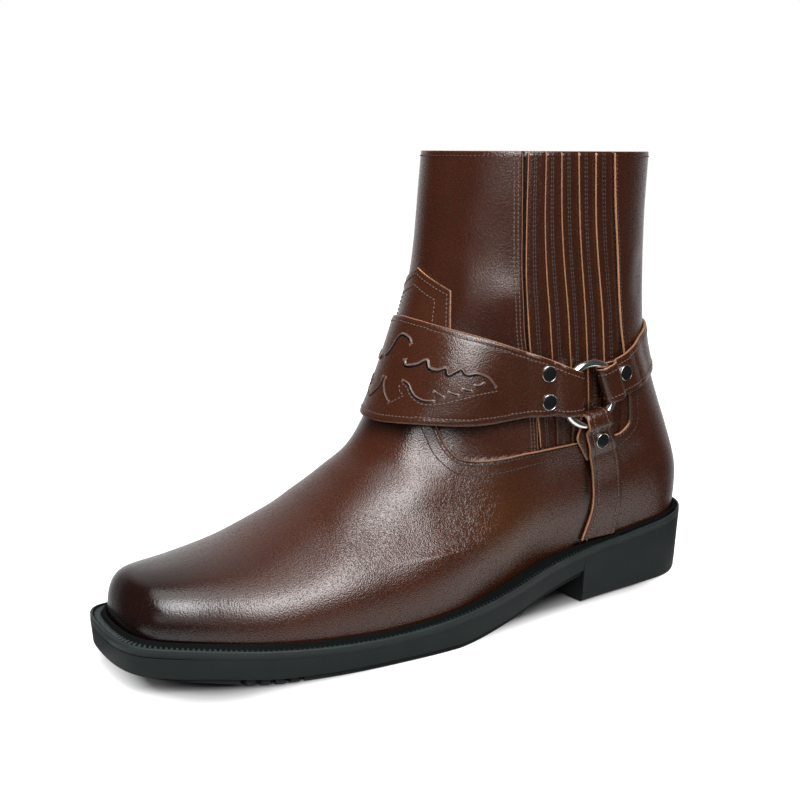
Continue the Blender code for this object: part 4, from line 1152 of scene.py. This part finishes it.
NICKEL = metal("bright_nickel", "#ececea", 0.16)
for side, side_name in ((1, "lateral"), (-1, "medial")):
    fore, aft, over, under = (
        side_point(RING_X + RING_RADIUS * along, RING_Z + RING_RADIUS * up, side, RING_HEIGHT)
        for along, up in ((1, 0), (-1, 0), (0, 1), (0, -1)))
    ahead = (fore - aft) / np.linalg.norm(fore - aft)
    outward = np.cross(over - under, ahead)
    outward *= side / np.linalg.norm(outward) * np.sign(outward[1])
    upward = np.cross(outward, ahead)
    centre = (fore + aft + over + under) / 4
    turn = np.linspace(0, 2 * np.pi, RING_TURNS, endpoint=False)[:, None, None]
    tube = np.linspace(0, 2 * np.pi, WIRE_TURNS, endpoint=False)[None, :, None]
    spoke = ahead * np.cos(turn) + upward * np.sin(turn)
    reach = RING_RADIUS + WIRE_RADIUS * np.cos(tube)
    ring_grid = centre + spoke * reach + outward * WIRE_RADIUS * np.sin(tube)
    ring_faces = grid_quads(RING_TURNS, WIRE_TURNS, closed_rows=True, closed_columns=True)
    ring = add_piece(f"nickel_ring_{side_name}", ring_grid, ring_faces[:, ::-1], [NICKEL])
    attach(ring, "root")
    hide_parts(f"ring_{side_name}")

# Rivets
# Domed rivets through both layers of each fold: a black enamelled cap in a bright rim.
# They are pressed from sheet and set with a punch, so that they sit flat on the leather.
# Name, strap, run from the ring and place aside of the strap's middle
RIVETS = (
    ("front_top", "front", 21.7, 12.2),
    ("front_low", "front", 21.7, -0.6),
    ("back", "back", 21.7, 1.0),
    ("down", "down", 24.0, -5.6),
)
RIVET_RADIUS = 3.7
RIVET_TURNS = 40
# Profile from the middle out: share of the radius, and height; the rim starts after the cap's rows
RIVET_PROFILE = (
    (0.0, 1.04), (0.3, 1.03), (0.55, 1.0), (0.74, 0.94), (0.86, 0.82), (0.915, 0.7), (0.93, 0.75),
    (0.95, 0.78), (0.97, 0.75), (0.99, 0.62), (1.0, 0.4), (1.0, 0.0), (0.96, -0.5))
CAP_ROWS = 5


def enamel(name, colour):
    """Glossy dark enamel that shows a small bright reflection."""
    made, shader = new_finish(name)
    set_inputs(shader, {"Base Color": srgb(colour), "Roughness": 0.28, "Specular IOR Level": 0.4})
    return made


BLACK_CAP = enamel("black_enamel", "#0b0b0c")
for side, side_name in ((1, "lateral"), (-1, "medial")):
    for rivet_name, strap, run, aside in RIVETS:
        x, z = fold_place(strap, run, aside)
        seat = side_point(x, z, side, RIVET_SEAT)
        axis = side_point(x, z, side, RIVET_SEAT + 1) - seat
        level_way = np.cross([0, 0, 1.0], axis)
        level_way /= np.linalg.norm(level_way)
        up_way = np.cross(axis, level_way)
        turn = np.linspace(0, 2 * np.pi, RIVET_TURNS, endpoint=False)[None, :, None]
        spoke = level_way * np.cos(turn) + up_way * np.sin(turn)
        share, rise = np.array(RIVET_PROFILE).T[..., None, None]
        rivet_grid = seat + spoke * (share * RIVET_RADIUS) + axis * rise
        rivet_faces = grid_quads(*rivet_grid.shape[:2], closed_columns=True)[:, ::-1]
        slots = np.repeat(np.arange(len(RIVET_PROFILE) - 1) >= CAP_ROWS, RIVET_TURNS).astype(int)
        rivet = add_piece(
            f"rivet_head_{rivet_name}_{side_name}", rivet_grid, rivet_faces, [BLACK_CAP, NICKEL], slots)
        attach(rivet, "root")
        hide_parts(f"rivet_{rivet_name}_{side_name}")

# Welt
# Black rubber strip round the upper: a storm rib beside the leather, a channel with small cross bars
# like a ladder, and a thin raised rim at the edge.
WELT_THICK = 3.0
RIB_WIDTH = 2.2
RIM_HEIGHT = 0.5
CHANNEL_FLOOR = -0.25
# Cross bars: pitch, half length with half breadth and height, inset, least room and least share of size
BAR_PITCH = 2.1
BAR_SIZE = (1.3, 0.5, 0.55)
BAR_INSET = 2.9
BAR_ROOM = 4.6
BAR_FADE = 0.4
# Lines of the welt's profile after which its lip shows
LIP_LINES = (1, 2, 3, 4)
# Stipple of the mould, drawn coarser than it is so that it shows, and clouds of dust
STIPPLE = 0.67
STIPPLE_DEPTH = 0.2
DUST = 11.0


def rubber(name, colour, roughness, sheen):
    """Moulded rubber: matte near black with a fine stipple, and a little dust that clouds it."""
    made, shader = new_finish(name)
    tree = made.node_tree
    place = add_node(tree, "ShaderNodeTexCoord").outputs["Object"]
    stipple = add_node(tree, "ShaderNodeTexNoise", {
        "Vector": place, "Scale": 1 / (STIPPLE * MM), "Detail": 3.0})
    bump = add_node(tree, "ShaderNodeBump", {
        "Height": stipple.outputs["Fac"], "Strength": 0.25, "Distance": STIPPLE_DEPTH * MM})
    cloud = add_node(tree, "ShaderNodeTexNoise", {"Vector": place, "Scale": 1 / (DUST * MM), "Detail": 5.0})
    dusty = [part * 1.7 for part in srgb(colour)[:3]] + [1.0]
    clouded = add_node(tree, "ShaderNodeMix", {
        0: cloud.outputs["Fac"], 6: srgb(colour), 7: dusty}, data_type="RGBA").outputs[2]
    set_inputs(shader, {
        "Base Color": clouded, "Normal": bump.outputs["Normal"], "Roughness": roughness,
        "Specular IOR Level": sheen})
    return made


def loop_x(count, start, end):
    """Stations round a closed outline: out along the lateral side and back along the medial one."""
    out = start + (end - start) * cosine_steps(count)
    x = np.concatenate([out, out[-2:0:-1]])
    side = np.concatenate([np.ones(count), -np.ones(count - 2)])
    return x, side


def sole_edge(x, side, inset):
    """Point x and y of the sole's outline, moved in by inset."""
    heel = np.clip(1 - x / HEEL_ROUND, 0, 1)
    toe = np.clip((x - SOLE_LENGTH + TOE_ROUND) / TOE_ROUND, 0, 1)
    outline_round = np.clip(1 - heel ** HEEL_POWER - toe ** TOE_POWER, 0, 1) ** OUTLINE_POWER
    return x + inset * (heel - toe), side * (breadth(x, side) - inset) * outline_round


def feather_outline(count, inset):
    """Outline of the upper's lower edge in plan, moved in by inset along its normal."""
    x, side = loop_x(count, level("x", feather_height(HEEL_MARGIN)), SOLE_LENGTH - TOE_MARGIN)
    y = side * upper_half(x, feather_height(x), side)
    ahead = np.stack([np.roll(x, -1) - np.roll(x, 1), np.roll(y, -1) - np.roll(y, 1)], -1)
    ahead /= np.linalg.norm(ahead, axis=-1, keepdims=True)
    return x + ahead[:, 1] * inset, y - ahead[:, 0] * inset


def welt_corner(outline, rise):
    """Points of one line of the welt's profile, by its outline in plan and rise above the welt."""
    x, y = outline
    return np.stack([x, y, station("welt_top", x) + rise], -1)


# The welt is black rubber, painted darker than the sole as shade in its channel; the lip is painted lighter
# as a thin highlight, and dust makes the bars show
WELT_RUBBER = rubber("black_welt_rubber", "#060707", 0.7, 0.02)
LIP_RUBBER = rubber("black_lip_rubber", "#181c1c", 0.45, 0.1)
BAR_RUBBER = rubber("dusty_welt_rubber", "#202425", 0.6, 0.1)
WELT_COUNT = 320
# Edge of the welt from below: inset in plan and rise; the last is the floor of its channel
WELT_EDGE = (
    (0.0, -WELT_THICK), (0.0, 0.0), (0.15, 0.35), (0.5, RIM_HEIGHT), (0.95, RIM_HEIGHT), (1.25, 0.15),
    (1.5, CHANNEL_FLOOR))
welt_x, welt_side = loop_x(WELT_COUNT, 0.0, SOLE_LENGTH)
bed = feather_outline(WELT_COUNT, WALL)
foot = feather_outline(WELT_COUNT, -GAP)
rib = feather_outline(WELT_COUNT, -RIB_WIDTH)
rib_wall = np.array(rib) * 0.75 + np.array(foot) * 0.25
rib_top = (np.array(foot) + np.array(rib)) / 2
welt_lines = [
    welt_corner(bed, -WELT_THICK),
    *[welt_corner(sole_edge(welt_x, welt_side, inset), rise) for inset, rise in WELT_EDGE],
    welt_corner(rib, CHANNEL_FLOOR),
    welt_corner(rib_wall, RIB_HEIGHT * 0.75),
    welt_corner(rib_top, RIB_HEIGHT),
    welt_corner(foot, RIB_HEIGHT * 0.8),
    welt_corner(foot, 0.0),
    welt_corner(bed, 0.0),
]
welt_grid = np.stack(welt_lines, 1)
welt_faces = grid_quads(*welt_grid.shape[:2], closed_rows=True, closed_columns=True)
lip = np.isin(np.arange(len(welt_lines)), LIP_LINES)
welt_slots = np.tile(lip, len(welt_grid)).astype(int)
welt = add_piece("welt_strip", welt_grid, welt_faces, [WELT_RUBBER, LIP_RUBBER], welt_slots)
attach(welt, "root")
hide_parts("welt")

bar_outline = np.stack(sole_edge(*loop_x(2000, 0.0, SOLE_LENGTH), BAR_INSET), -1)
bar_along = path_length(bar_outline)
bar_at = np.arange(0, bar_along[-1], BAR_PITCH)
bar_place = np.stack([np.interp(bar_at, bar_along, part) for part in bar_outline.T], -1)
bar_ahead = np.stack([np.interp(bar_at, bar_along, part) for part in np.gradient(bar_outline, axis=0).T], -1)
bar_ahead /= np.linalg.norm(bar_ahead, axis=-1, keepdims=True)
bar_room = station("welt_margin", bar_place[:, 0]) > BAR_ROOM
bar_place = bar_place[bar_room]
bar_ahead = bar_ahead[bar_room]
bar_centre = np.stack([*bar_place.T, station("welt_top", bar_place[:, 0]) - 0.2], -1)
bar_along_way = np.stack([*bar_ahead.T, 0 * bar_ahead[:, 0]], -1)
bar_out_way = np.stack([bar_ahead[:, 1], -bar_ahead[:, 0], 0 * bar_ahead[:, 0]], -1)
# The bars are full at the toe and shrink along the sides
bar_share = (BAR_FADE + (1 - BAR_FADE) * ease((bar_place[:, 0] - 235) / 45))[:, None]
bar_corners = []
for out in (-1, 1):
    for along, up in ((-1, 0), (-0.6, 1), (0.6, 1), (1, 0)):
        reach = bar_out_way * out * BAR_SIZE[0] + bar_along_way * along * BAR_SIZE[1]
        bar_corners.append(bar_centre + (reach + np.array([0, 0, up * BAR_SIZE[2]])) * bar_share)
bar_points = np.stack(bar_corners, 1)
bar_quads = np.array([(4, 5, 1, 0), (5, 6, 2, 1), (6, 7, 3, 2), (1, 2, 3, 0), (7, 6, 5, 4)])
bar_faces = (bar_quads[None] + 8 * np.arange(len(bar_points))[:, None, None]).reshape(-1, 4)
bars = add_piece("welt_cross_bars", bar_points, bar_faces, [BAR_RUBBER])
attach(bars, "root")

# Outsole
# Moulded rubber sole and heel in one, cemented under the welt: plain walls over a set-back tread,
# with cross grooves ahead of the ball.
HEEL_BREAST = 80.0
TREAD_HEIGHT = 2.4
TREAD_INSET = 3.2
TOE_TREAD = 0.8
WALL_INSET = 0.05
GROOVES = 234.0 + 5.6 * np.arange(5)
GROOVE_WIDTH = 2.0
GROOVE_DEPTH = 1.6
GROOVE_CORNER = 0.02
# Heel's levels below the wall: inset, and height from the floor
HEEL_LEVELS = ((1.2, 8.0), (1.6, 2.4), (1.9, 1.1), (2.3, 0.4), (3.0, 0.0))
# Forefoot's levels below the wall: inset, and height from the tread's top; the tread's edge follows them
FORE_LEVELS = ((0.75, 0.5), (0.95, 0.15), (1.4, 0.0), (TREAD_INSET, -0.5))
TREAD_EDGE = TREAD_INSET - 0.6
rear_x = HEEL_BREAST * cosine_steps(120)[:80] / cosine_steps(120)[79]
fore_x = HEEL_BREAST + (SOLE_LENGTH - HEEL_BREAST) * np.sin(np.linspace(0, np.pi / 2, 170))
groove_walls = np.concatenate([GROOVES - GROOVE_WIDTH / 2, GROOVES + GROOVE_WIDTH / 2])
fore_x = np.concatenate([fore_x, groove_walls - GROOVE_CORNER, groove_walls + GROOVE_CORNER])
sole_x = np.concatenate([rear_x, np.sort(fore_x)])
# The ends stop just short of the outline's own, where it has no breadth
sole_x[0] = 0.15
sole_x[-1] = SOLE_LENGTH - 0.01
in_heel = np.arange(len(sole_x)) < len(rear_x)
in_groove = (np.abs(sole_x[:, None] - GROOVES[None]) < GROOVE_WIDTH / 2).any(1)
# The joint under the welt shows as a dark line round the toe only
joint = 0.02 + 0.33 * ease((sole_x - 262) / 24)
sole_top = station("welt_top", sole_x) - WELT_THICK - joint
sole_under = np.maximum(station("underside", sole_x), 0)
tread = sole_under + TOE_TREAD + (TREAD_HEIGHT - TOE_TREAD) * ease((290 - sole_x) / 30)
fore_places = [(inset, tread + rise) for inset, rise in FORE_LEVELS]
fore_places.append((TREAD_EDGE, sole_under + GROOVE_DEPTH * in_groove))
sole_levels = [(WALL_INSET, sole_top)]
for (heel_inset, heel_z), (fore_inset, fore_z) in zip(HEEL_LEVELS, fore_places):
    sole_levels.append((np.where(in_heel, heel_inset, fore_inset), np.where(in_heel, heel_z, fore_z)))
lateral_lines = [np.stack([*sole_edge(sole_x, 1, inset), z], -1) for inset, z in sole_levels]
medial_lines = [np.stack([*sole_edge(sole_x, -1, inset), z], -1) for inset, z in sole_levels]
sole_grid = np.stack(lateral_lines + medial_lines[::-1], 1)
sole_rows, sole_around = sole_grid.shape[:2]
# Quads that close each end, between the lateral and the medial lines
line = np.arange(len(sole_levels) - 1)
sole_end = np.stack([line, line + 1, sole_around - 2 - line, sole_around - 1 - line], -1)
sole_faces = np.concatenate([
    grid_quads(sole_rows, sole_around, closed_columns=True)[:, ::-1], sole_end[:, ::-1],
    sole_end + (sole_rows - 1) * sole_around])
# Matte black with a faint green cast, a little greyer where the floor lights it
SOLE_RUBBER = rubber("black_sole_rubber", "#111515", 0.55, 0.1)
SHARP_ANGLE = 32.0
outsole = add_piece("sole_and_heel", sole_grid, sole_faces, [SOLE_RUBBER])
outsole.data.set_sharp_from_angle(angle=math.radians(SHARP_ANGLE))
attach(outsole, "root")
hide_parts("outsole")

# Insole
# Leather-covered board inside the boot, hollowed a little along its middle.
# It is cemented down inside the welt, and shows from above, through the open shaft.
INSOLE_RISE = 1.2
INSOLE_HOLLOW = 0.8
INSOLE_GAP = 0.5
INSOLE_COUNT = 120
insole_outline = np.stack(feather_outline(INSOLE_COUNT, WALL + INSOLE_GAP), -1)
near = insole_outline[1:INSOLE_COUNT - 1]
far = insole_outline[:INSOLE_COUNT - 1:-1]
share = np.linspace(0, 1, 25)[None, :, None]
insole_plan = near[:, None] * (1 - share) + far[:, None] * share
insole_top = station("welt_top", insole_plan[..., 0]) + INSOLE_RISE
insole_z = insole_top - INSOLE_HOLLOW * np.sin(np.pi * share[..., 0])
insole_grid = np.concatenate([insole_plan, insole_z[..., None]], -1)
INSOLE_LEATHER = matte("insole_leather", "#7a5535", 0.75)
insole = add_piece("insole_cover", insole_grid, grid_quads(*insole_grid.shape[:2]), [INSOLE_LEATHER])
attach(insole, "root")
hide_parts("insole")

# Stitches of the upper
# Thread rows through the leather: below the collar, beside the gore, on each pleat and along the vamp's seam.
# It is brown waxed thread, pulled down into a groove whose shade is painted as a dark strip.
DARK_THREAD = 1.0
SEAM_SPLIT = 330
WALL_ROWS = (
    (SEAM_LINE[:SEAM_SPLIT], 1.7, DARK_THREAD), (SEAM_LINE[:SEAM_SPLIT], 6.0, DARK_THREAD),
    (SEAM_LINE[SEAM_SPLIT:], 2.0, DARK_THREAD), (PANEL_LINE, 1.7, 0.0), (PANEL_LINE, 3.3, 0.0))
# Rows on a pleat: share of its width and of its rise
PLEAT_ROWS = ((0.33, 0.84), (0.45, 0.79))
for side in (1, -1):
    for line, aside, dye_and_shade in WALL_ROWS:
        row = moved_line(line, np.full(len(line), aside))
        side_row(row, side, wall_lift(row[:, 0], row[:, 1]), dye_and_shade)
    for number in range(len(pleat_lines) - 1):
        front = pleat_lines[number]
        span = pleat_lines[number + 1] - front
        for across, rise in PLEAT_ROWS:
            row = np.stack([front + span * across, pleat_z], -1)
            side_row(row, side, PLEAT_LIFT + PLEAT_FRONT * rise * pleat_sink, DARK_THREAD)
# The collar's row is broken by the gores: angles of their front and rear edges
COLLAR_INSET = 1.8
COLLAR_LIFT = 0.1
gore_front = math.atan2(37, 119 - SHAFT_AXIS)
gore_rear = math.atan2(38, 73 - SHAFT_AXIS)
for first, last in ((-gore_front, gore_front), (gore_rear, 2 * math.pi - gore_rear)):
    collar_angle = np.linspace(first, last, 200)
    collar_z = np.full(200, COLLAR_HEIGHT - COLLAR_INSET)
    collar_low = wrap_point(collar_angle, collar_z, np.full(200, COLLAR_LIFT))
    collar_high = wrap_point(collar_angle, collar_z, np.full(200, COLLAR_LIFT + 1))
    stitch_row(collar_low, collar_high - collar_low, DARK_THREAD)


def thread(name, colour, dark):
    """Waxed thread: a brown with a soft sheen, darker where the mesh asks for it."""
    made, shader = new_finish(name)
    tree = made.node_tree
    dye_and_shade = add_node(tree, "ShaderNodeAttribute", attribute_name="dye_and_shade").outputs["Fac"]
    tinted = add_node(tree, "ShaderNodeMix", {
        0: dye_and_shade, 6: srgb(colour), 7: srgb(dark)}, data_type="RGBA").outputs[2]
    set_inputs(shader, {"Base Color": tinted, "Roughness": 0.4})
    return made


# A stitch has its first end, its rings and its last end: fans of triangles at the ends, pairs between rings
stitch_points = np.concatenate(STITCHES)
stitch_size = stitch_points.shape[1]
turn = np.arange(THREAD_SIDES)
after = (turn + 1) % THREAD_SIDES
last_ring = stitch_size - 1 - THREAD_SIDES
stitch_parts = [
    np.stack([0 * turn, 1 + after, 1 + turn], -1),
    np.stack([stitch_size - 1 + 0 * turn, last_ring + turn, last_ring + after], -1),
]
for ring in range(1, last_ring, THREAD_SIDES):
    beyond = ring + THREAD_SIDES
    stitch_parts.append(np.stack([ring + turn, ring + after, beyond + after], -1))
    stitch_parts.append(np.stack([ring + turn, beyond + after, beyond + turn], -1))
one_stitch = np.concatenate(stitch_parts)
stitch_starts = stitch_size * np.arange(len(stitch_points))
stitch_faces = (one_stitch[None] + stitch_starts[:, None, None]).reshape(-1, 3)
BROWN_THREAD = thread("brown_thread", "#4c342b", "#2c1b16")
stitches = add_piece(
    "stitches", stitch_points, stitch_faces, [BROWN_THREAD], values={"dye_and_shade": np.concatenate(STITCH_DYES)})
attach(stitches, "root")
# Dark strips under the stitches: painted shade of their grooves
GROOVE_SHADE = matte("groove_painted_shade", "#120906", 0.7)
grooves = add_piece("stitch_grooves", *joined(STITCH_GROOVES), [GROOVE_SHADE])
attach(grooves, "root")

# Stage
# White paper floor and a white backdrop, with soft boxes on the outer side, low down, and above the boot.
# Only the paper near the boot shows in its reflections, as where black flags stand beside the set.
FLOOR_HALF = 4.0
FLOOR_DROP = 0.0004
floor_corners = [(x * FLOOR_HALF, y * FLOOR_HALF, 0) for x, y in ((-1, -1), (1, -1), (1, 1), (-1, 1))]
floor_mesh = bpy.data.meshes.new("studio_floor")
floor_mesh.from_pydata(floor_corners, [], [(0, 1, 2, 3)])
paper, floor_shader = new_finish("white_paper")
floor_tree = paper.node_tree
floor_mesh.materials.append(paper)
# The paper glows with painted light, more with the distance from the boot, up to a white without a horizon
GLOW_START = 0.14
GLOW_FULL = 0.45
GLOW_STRETCH = (1.0, 1.9, 1.0)
floor_place = add_node(floor_tree, "ShaderNodeTexCoord").outputs["Object"]
squeezed = add_node(floor_tree, "ShaderNodeVectorMath", {
    0: floor_place, 1: GLOW_STRETCH}, operation="MULTIPLY").outputs[0]
away = add_node(floor_tree, "ShaderNodeVectorMath", {0: squeezed}, operation="LENGTH").outputs["Value"]
glow = add_node(floor_tree, "ShaderNodeMapRange", {
    "Value": away, "From Min": GLOW_START, "From Max": GLOW_FULL}).outputs["Result"]
# To the eye it glows white close to the boot too, as painted light, and it is painted dark under the sole as
# a shadow, whose half breadth grows to the toe
SHADE_LENGTH = 0.102
SHADE_BREADTH = 0.003
SHADE_TAPER = 0.1
SHADE_CORE = 0.022
SHADE_START = 0.034
SHADE_REACH = 0.048
SHADE_WHITE = 0.34
SHADE_DARK = 0.05
forward = add_node(floor_tree, "ShaderNodeSeparateXYZ", {0: floor_place}).outputs["X"]
half = add_node(floor_tree, "ShaderNodeMath", {
    0: forward, 1: SHADE_TAPER, 2: SHADE_BREADTH}, operation="MULTIPLY_ADD").outputs[0]
limit = add_node(floor_tree, "ShaderNodeCombineXYZ", {"X": SHADE_LENGTH, "Y": half, "Z": 1.0})
folded = add_node(floor_tree, "ShaderNodeVectorMath", {0: floor_place}, operation="ABSOLUTE")
past = add_node(floor_tree, "ShaderNodeVectorMath", {
    0: folded.outputs[0], 1: limit.outputs[0]}, operation="SUBTRACT").outputs[0]
outside = add_node(floor_tree, "ShaderNodeVectorMath", {
    0: past, 1: (0, 0, 0)}, operation="MAXIMUM").outputs[0]
clear = add_node(floor_tree, "ShaderNodeVectorMath", {0: outside}, operation="LENGTH").outputs["Value"]
bare = add_node(floor_tree, "ShaderNodeMapRange", {
    "Value": clear, "From Min": SHADE_START, "From Max": SHADE_REACH}).outputs["Result"]
seen = add_node(floor_tree, "ShaderNodeLightPath").outputs["Is Camera Ray"]
white = add_node(floor_tree, "ShaderNodeMath", {0: bare, 1: seen}, operation="MULTIPLY").outputs[0]
painted_glow = add_node(floor_tree, "ShaderNodeMath", {0: glow, 1: white}, operation="MAXIMUM").outputs[0]
shaded = add_node(floor_tree, "ShaderNodeMapRange", {
    "Value": clear, "From Min": SHADE_CORE, "From Max": SHADE_START, "To Min": SHADE_DARK,
    "To Max": SHADE_WHITE}).outputs["Result"]
set_inputs(floor_shader, {
    "Base Color": shaded, "Emission Strength": painted_glow, "Emission Color": (1, 1, 1, 1), "Roughness": 0.9,
    "Specular IOR Level": 0.0})
floor = bpy.data.objects.new("studio_floor", floor_mesh)
floor.location.z = -FLOOR_DROP
floor.visible_glossy = False
bpy.context.scene.collection.objects.link(floor)
# Oval of paper that only the reflections see: its half length and half breadth, its middle and its white
NEAR_FLOOR = (0.235, 0.096)
NEAR_MIDDLE = (0.035, 0.07)
NEAR_WHITE = (0.42, 0.42, 0.41, 1.0)
turn = np.linspace(0, 2 * np.pi, 96, endpoint=False)
near_points = np.stack([
    NEAR_MIDDLE[0] + NEAR_FLOOR[0] * np.cos(turn), NEAR_MIDDLE[1] + NEAR_FLOOR[1] * np.sin(turn),
    0 * turn - FLOOR_DROP / 2], -1)
near_mesh = bpy.data.meshes.new("near_floor")
near_mesh.from_pydata(near_points.tolist(), [], [list(range(len(turn)))])
near_paper, near_shader = new_finish("near_white_paper")
near_mesh.materials.append(near_paper)
set_inputs(near_shader, {"Base Color": NEAR_WHITE, "Roughness": 0.9, "Specular IOR Level": 0.0})
near_floor = bpy.data.objects.new("near_floor", near_mesh)
near_floor.visible_camera = False
near_floor.visible_shadow = False
bpy.context.scene.collection.objects.link(near_floor)

# The backdrop is white; in reflections it is bright behind the boot and above it at the back, else dim
DIM = 0.05
# Bright parts of the room: way towards them, where they start and are full, and how bright they are
ROOM_PARTS = (
    ((-0.51, -0.86, 0.0), 0.5, 0.92, 0.85),
    ((-0.3, -0.7, 0.65), 0.75, 0.95, 0.7),
)
room = bpy.data.worlds.new("white_room")
room.use_nodes = True
tree = room.node_tree
way = add_node(tree, "ShaderNodeTexCoord").outputs["Generated"]
bright = add_node(tree, "ShaderNodeLightPath").outputs["Is Camera Ray"]
for part_way, start, full, strength in ROOM_PARTS:
    facing = add_node(tree, "ShaderNodeVectorMath", {0: way, 1: part_way}, operation="DOT_PRODUCT")
    part = add_node(tree, "ShaderNodeMapRange", {
        "Value": facing.outputs["Value"], "From Min": start, "From Max": full, "To Min": DIM,
        "To Max": strength}).outputs["Result"]
    bright = add_node(tree, "ShaderNodeMath", {0: bright, 1: part}, operation="MAXIMUM").outputs[0]
set_inputs(tree.nodes["Background"], {"Strength": bright, "Color": (1, 1, 1, 1)})
bpy.context.scene.world = room
bpy.context.scene.view_settings.view_transform = "Standard"
# Soft boxes by place, breadth and height in metres, radiance, and whether they show in reflections
LIGHTS = (
    ("side_box", (0.06, 0.82, 0.8), 0.72, 1.0, 5.8, True),
    ("side_box_core", (0.1, 0.76, 0.83), 0.62, 0.5, 9.2, True),
    ("low_box", (0.62, 0.96, 0.3), 0.5, 0.24, 1.3, True),
    ("top_box", (0.12, 0.2, 1.2), 0.5, 0.6, 3.0, True),
    ("front_fill", (1.1, -0.1, 0.5), 1.2, 1.2, 4.4, False),
    ("top_fill", (0.25, 0.1, 1.2), 0.8, 0.8, 9.0, False),
)
LIGHT_AIM = (0.0, 0.0, 0.06)
for light_name, place, box_breadth, box_height, radiance, mirrored in LIGHTS:
    lamp = bpy.data.lights.new(light_name, "AREA")
    lamp.shape = "RECTANGLE"
    lamp.size = box_breadth
    lamp.size_y = box_height
    lamp.energy = radiance * math.pi * box_breadth * box_height
    light = bpy.data.objects.new(light_name, lamp)
    light.location = place
    light.rotation_euler = (Vector(LIGHT_AIM) - Vector(place)).to_track_quat("-Z", "Y").to_euler()
    light.visible_glossy = mirrored
    bpy.context.scene.collection.objects.link(light)

CAMERA_PLACE = (0.2865, 0.4670, 0.2094)
CAMERA_YAW = math.radians(-120.7)
CAMERA_PITCH = math.radians(11.43)
CAMERA_ROLL = math.radians(0.27)
FOCAL_LENGTH = 55.56
level_share = math.cos(CAMERA_PITCH)
look = np.array([
    math.cos(CAMERA_YAW) * level_share, math.sin(CAMERA_YAW) * level_share, -math.sin(CAMERA_PITCH)])
level_right = np.cross(look, [0, 0, 1.0])
level_right /= np.linalg.norm(level_right)
level_up = np.cross(level_right, look)
right = math.cos(CAMERA_ROLL) * level_right + math.sin(CAMERA_ROLL) * level_up
upright = math.cos(CAMERA_ROLL) * level_up - math.sin(CAMERA_ROLL) * level_right
lens = bpy.data.cameras.new("photo_camera")
lens.sensor_width = 36.0
lens.lens = FOCAL_LENGTH
camera = bpy.data.objects.new("photo_camera", lens)
camera_frame = np.eye(4)
camera_frame[:3, :3] = np.stack([right, upright, -look], -1)
camera_frame[:3, 3] = CAMERA_PLACE
camera.matrix_world = Matrix(camera_frame.tolist())
bpy.context.scene.collection.objects.link(camera)
bpy.context.scene.camera = camera
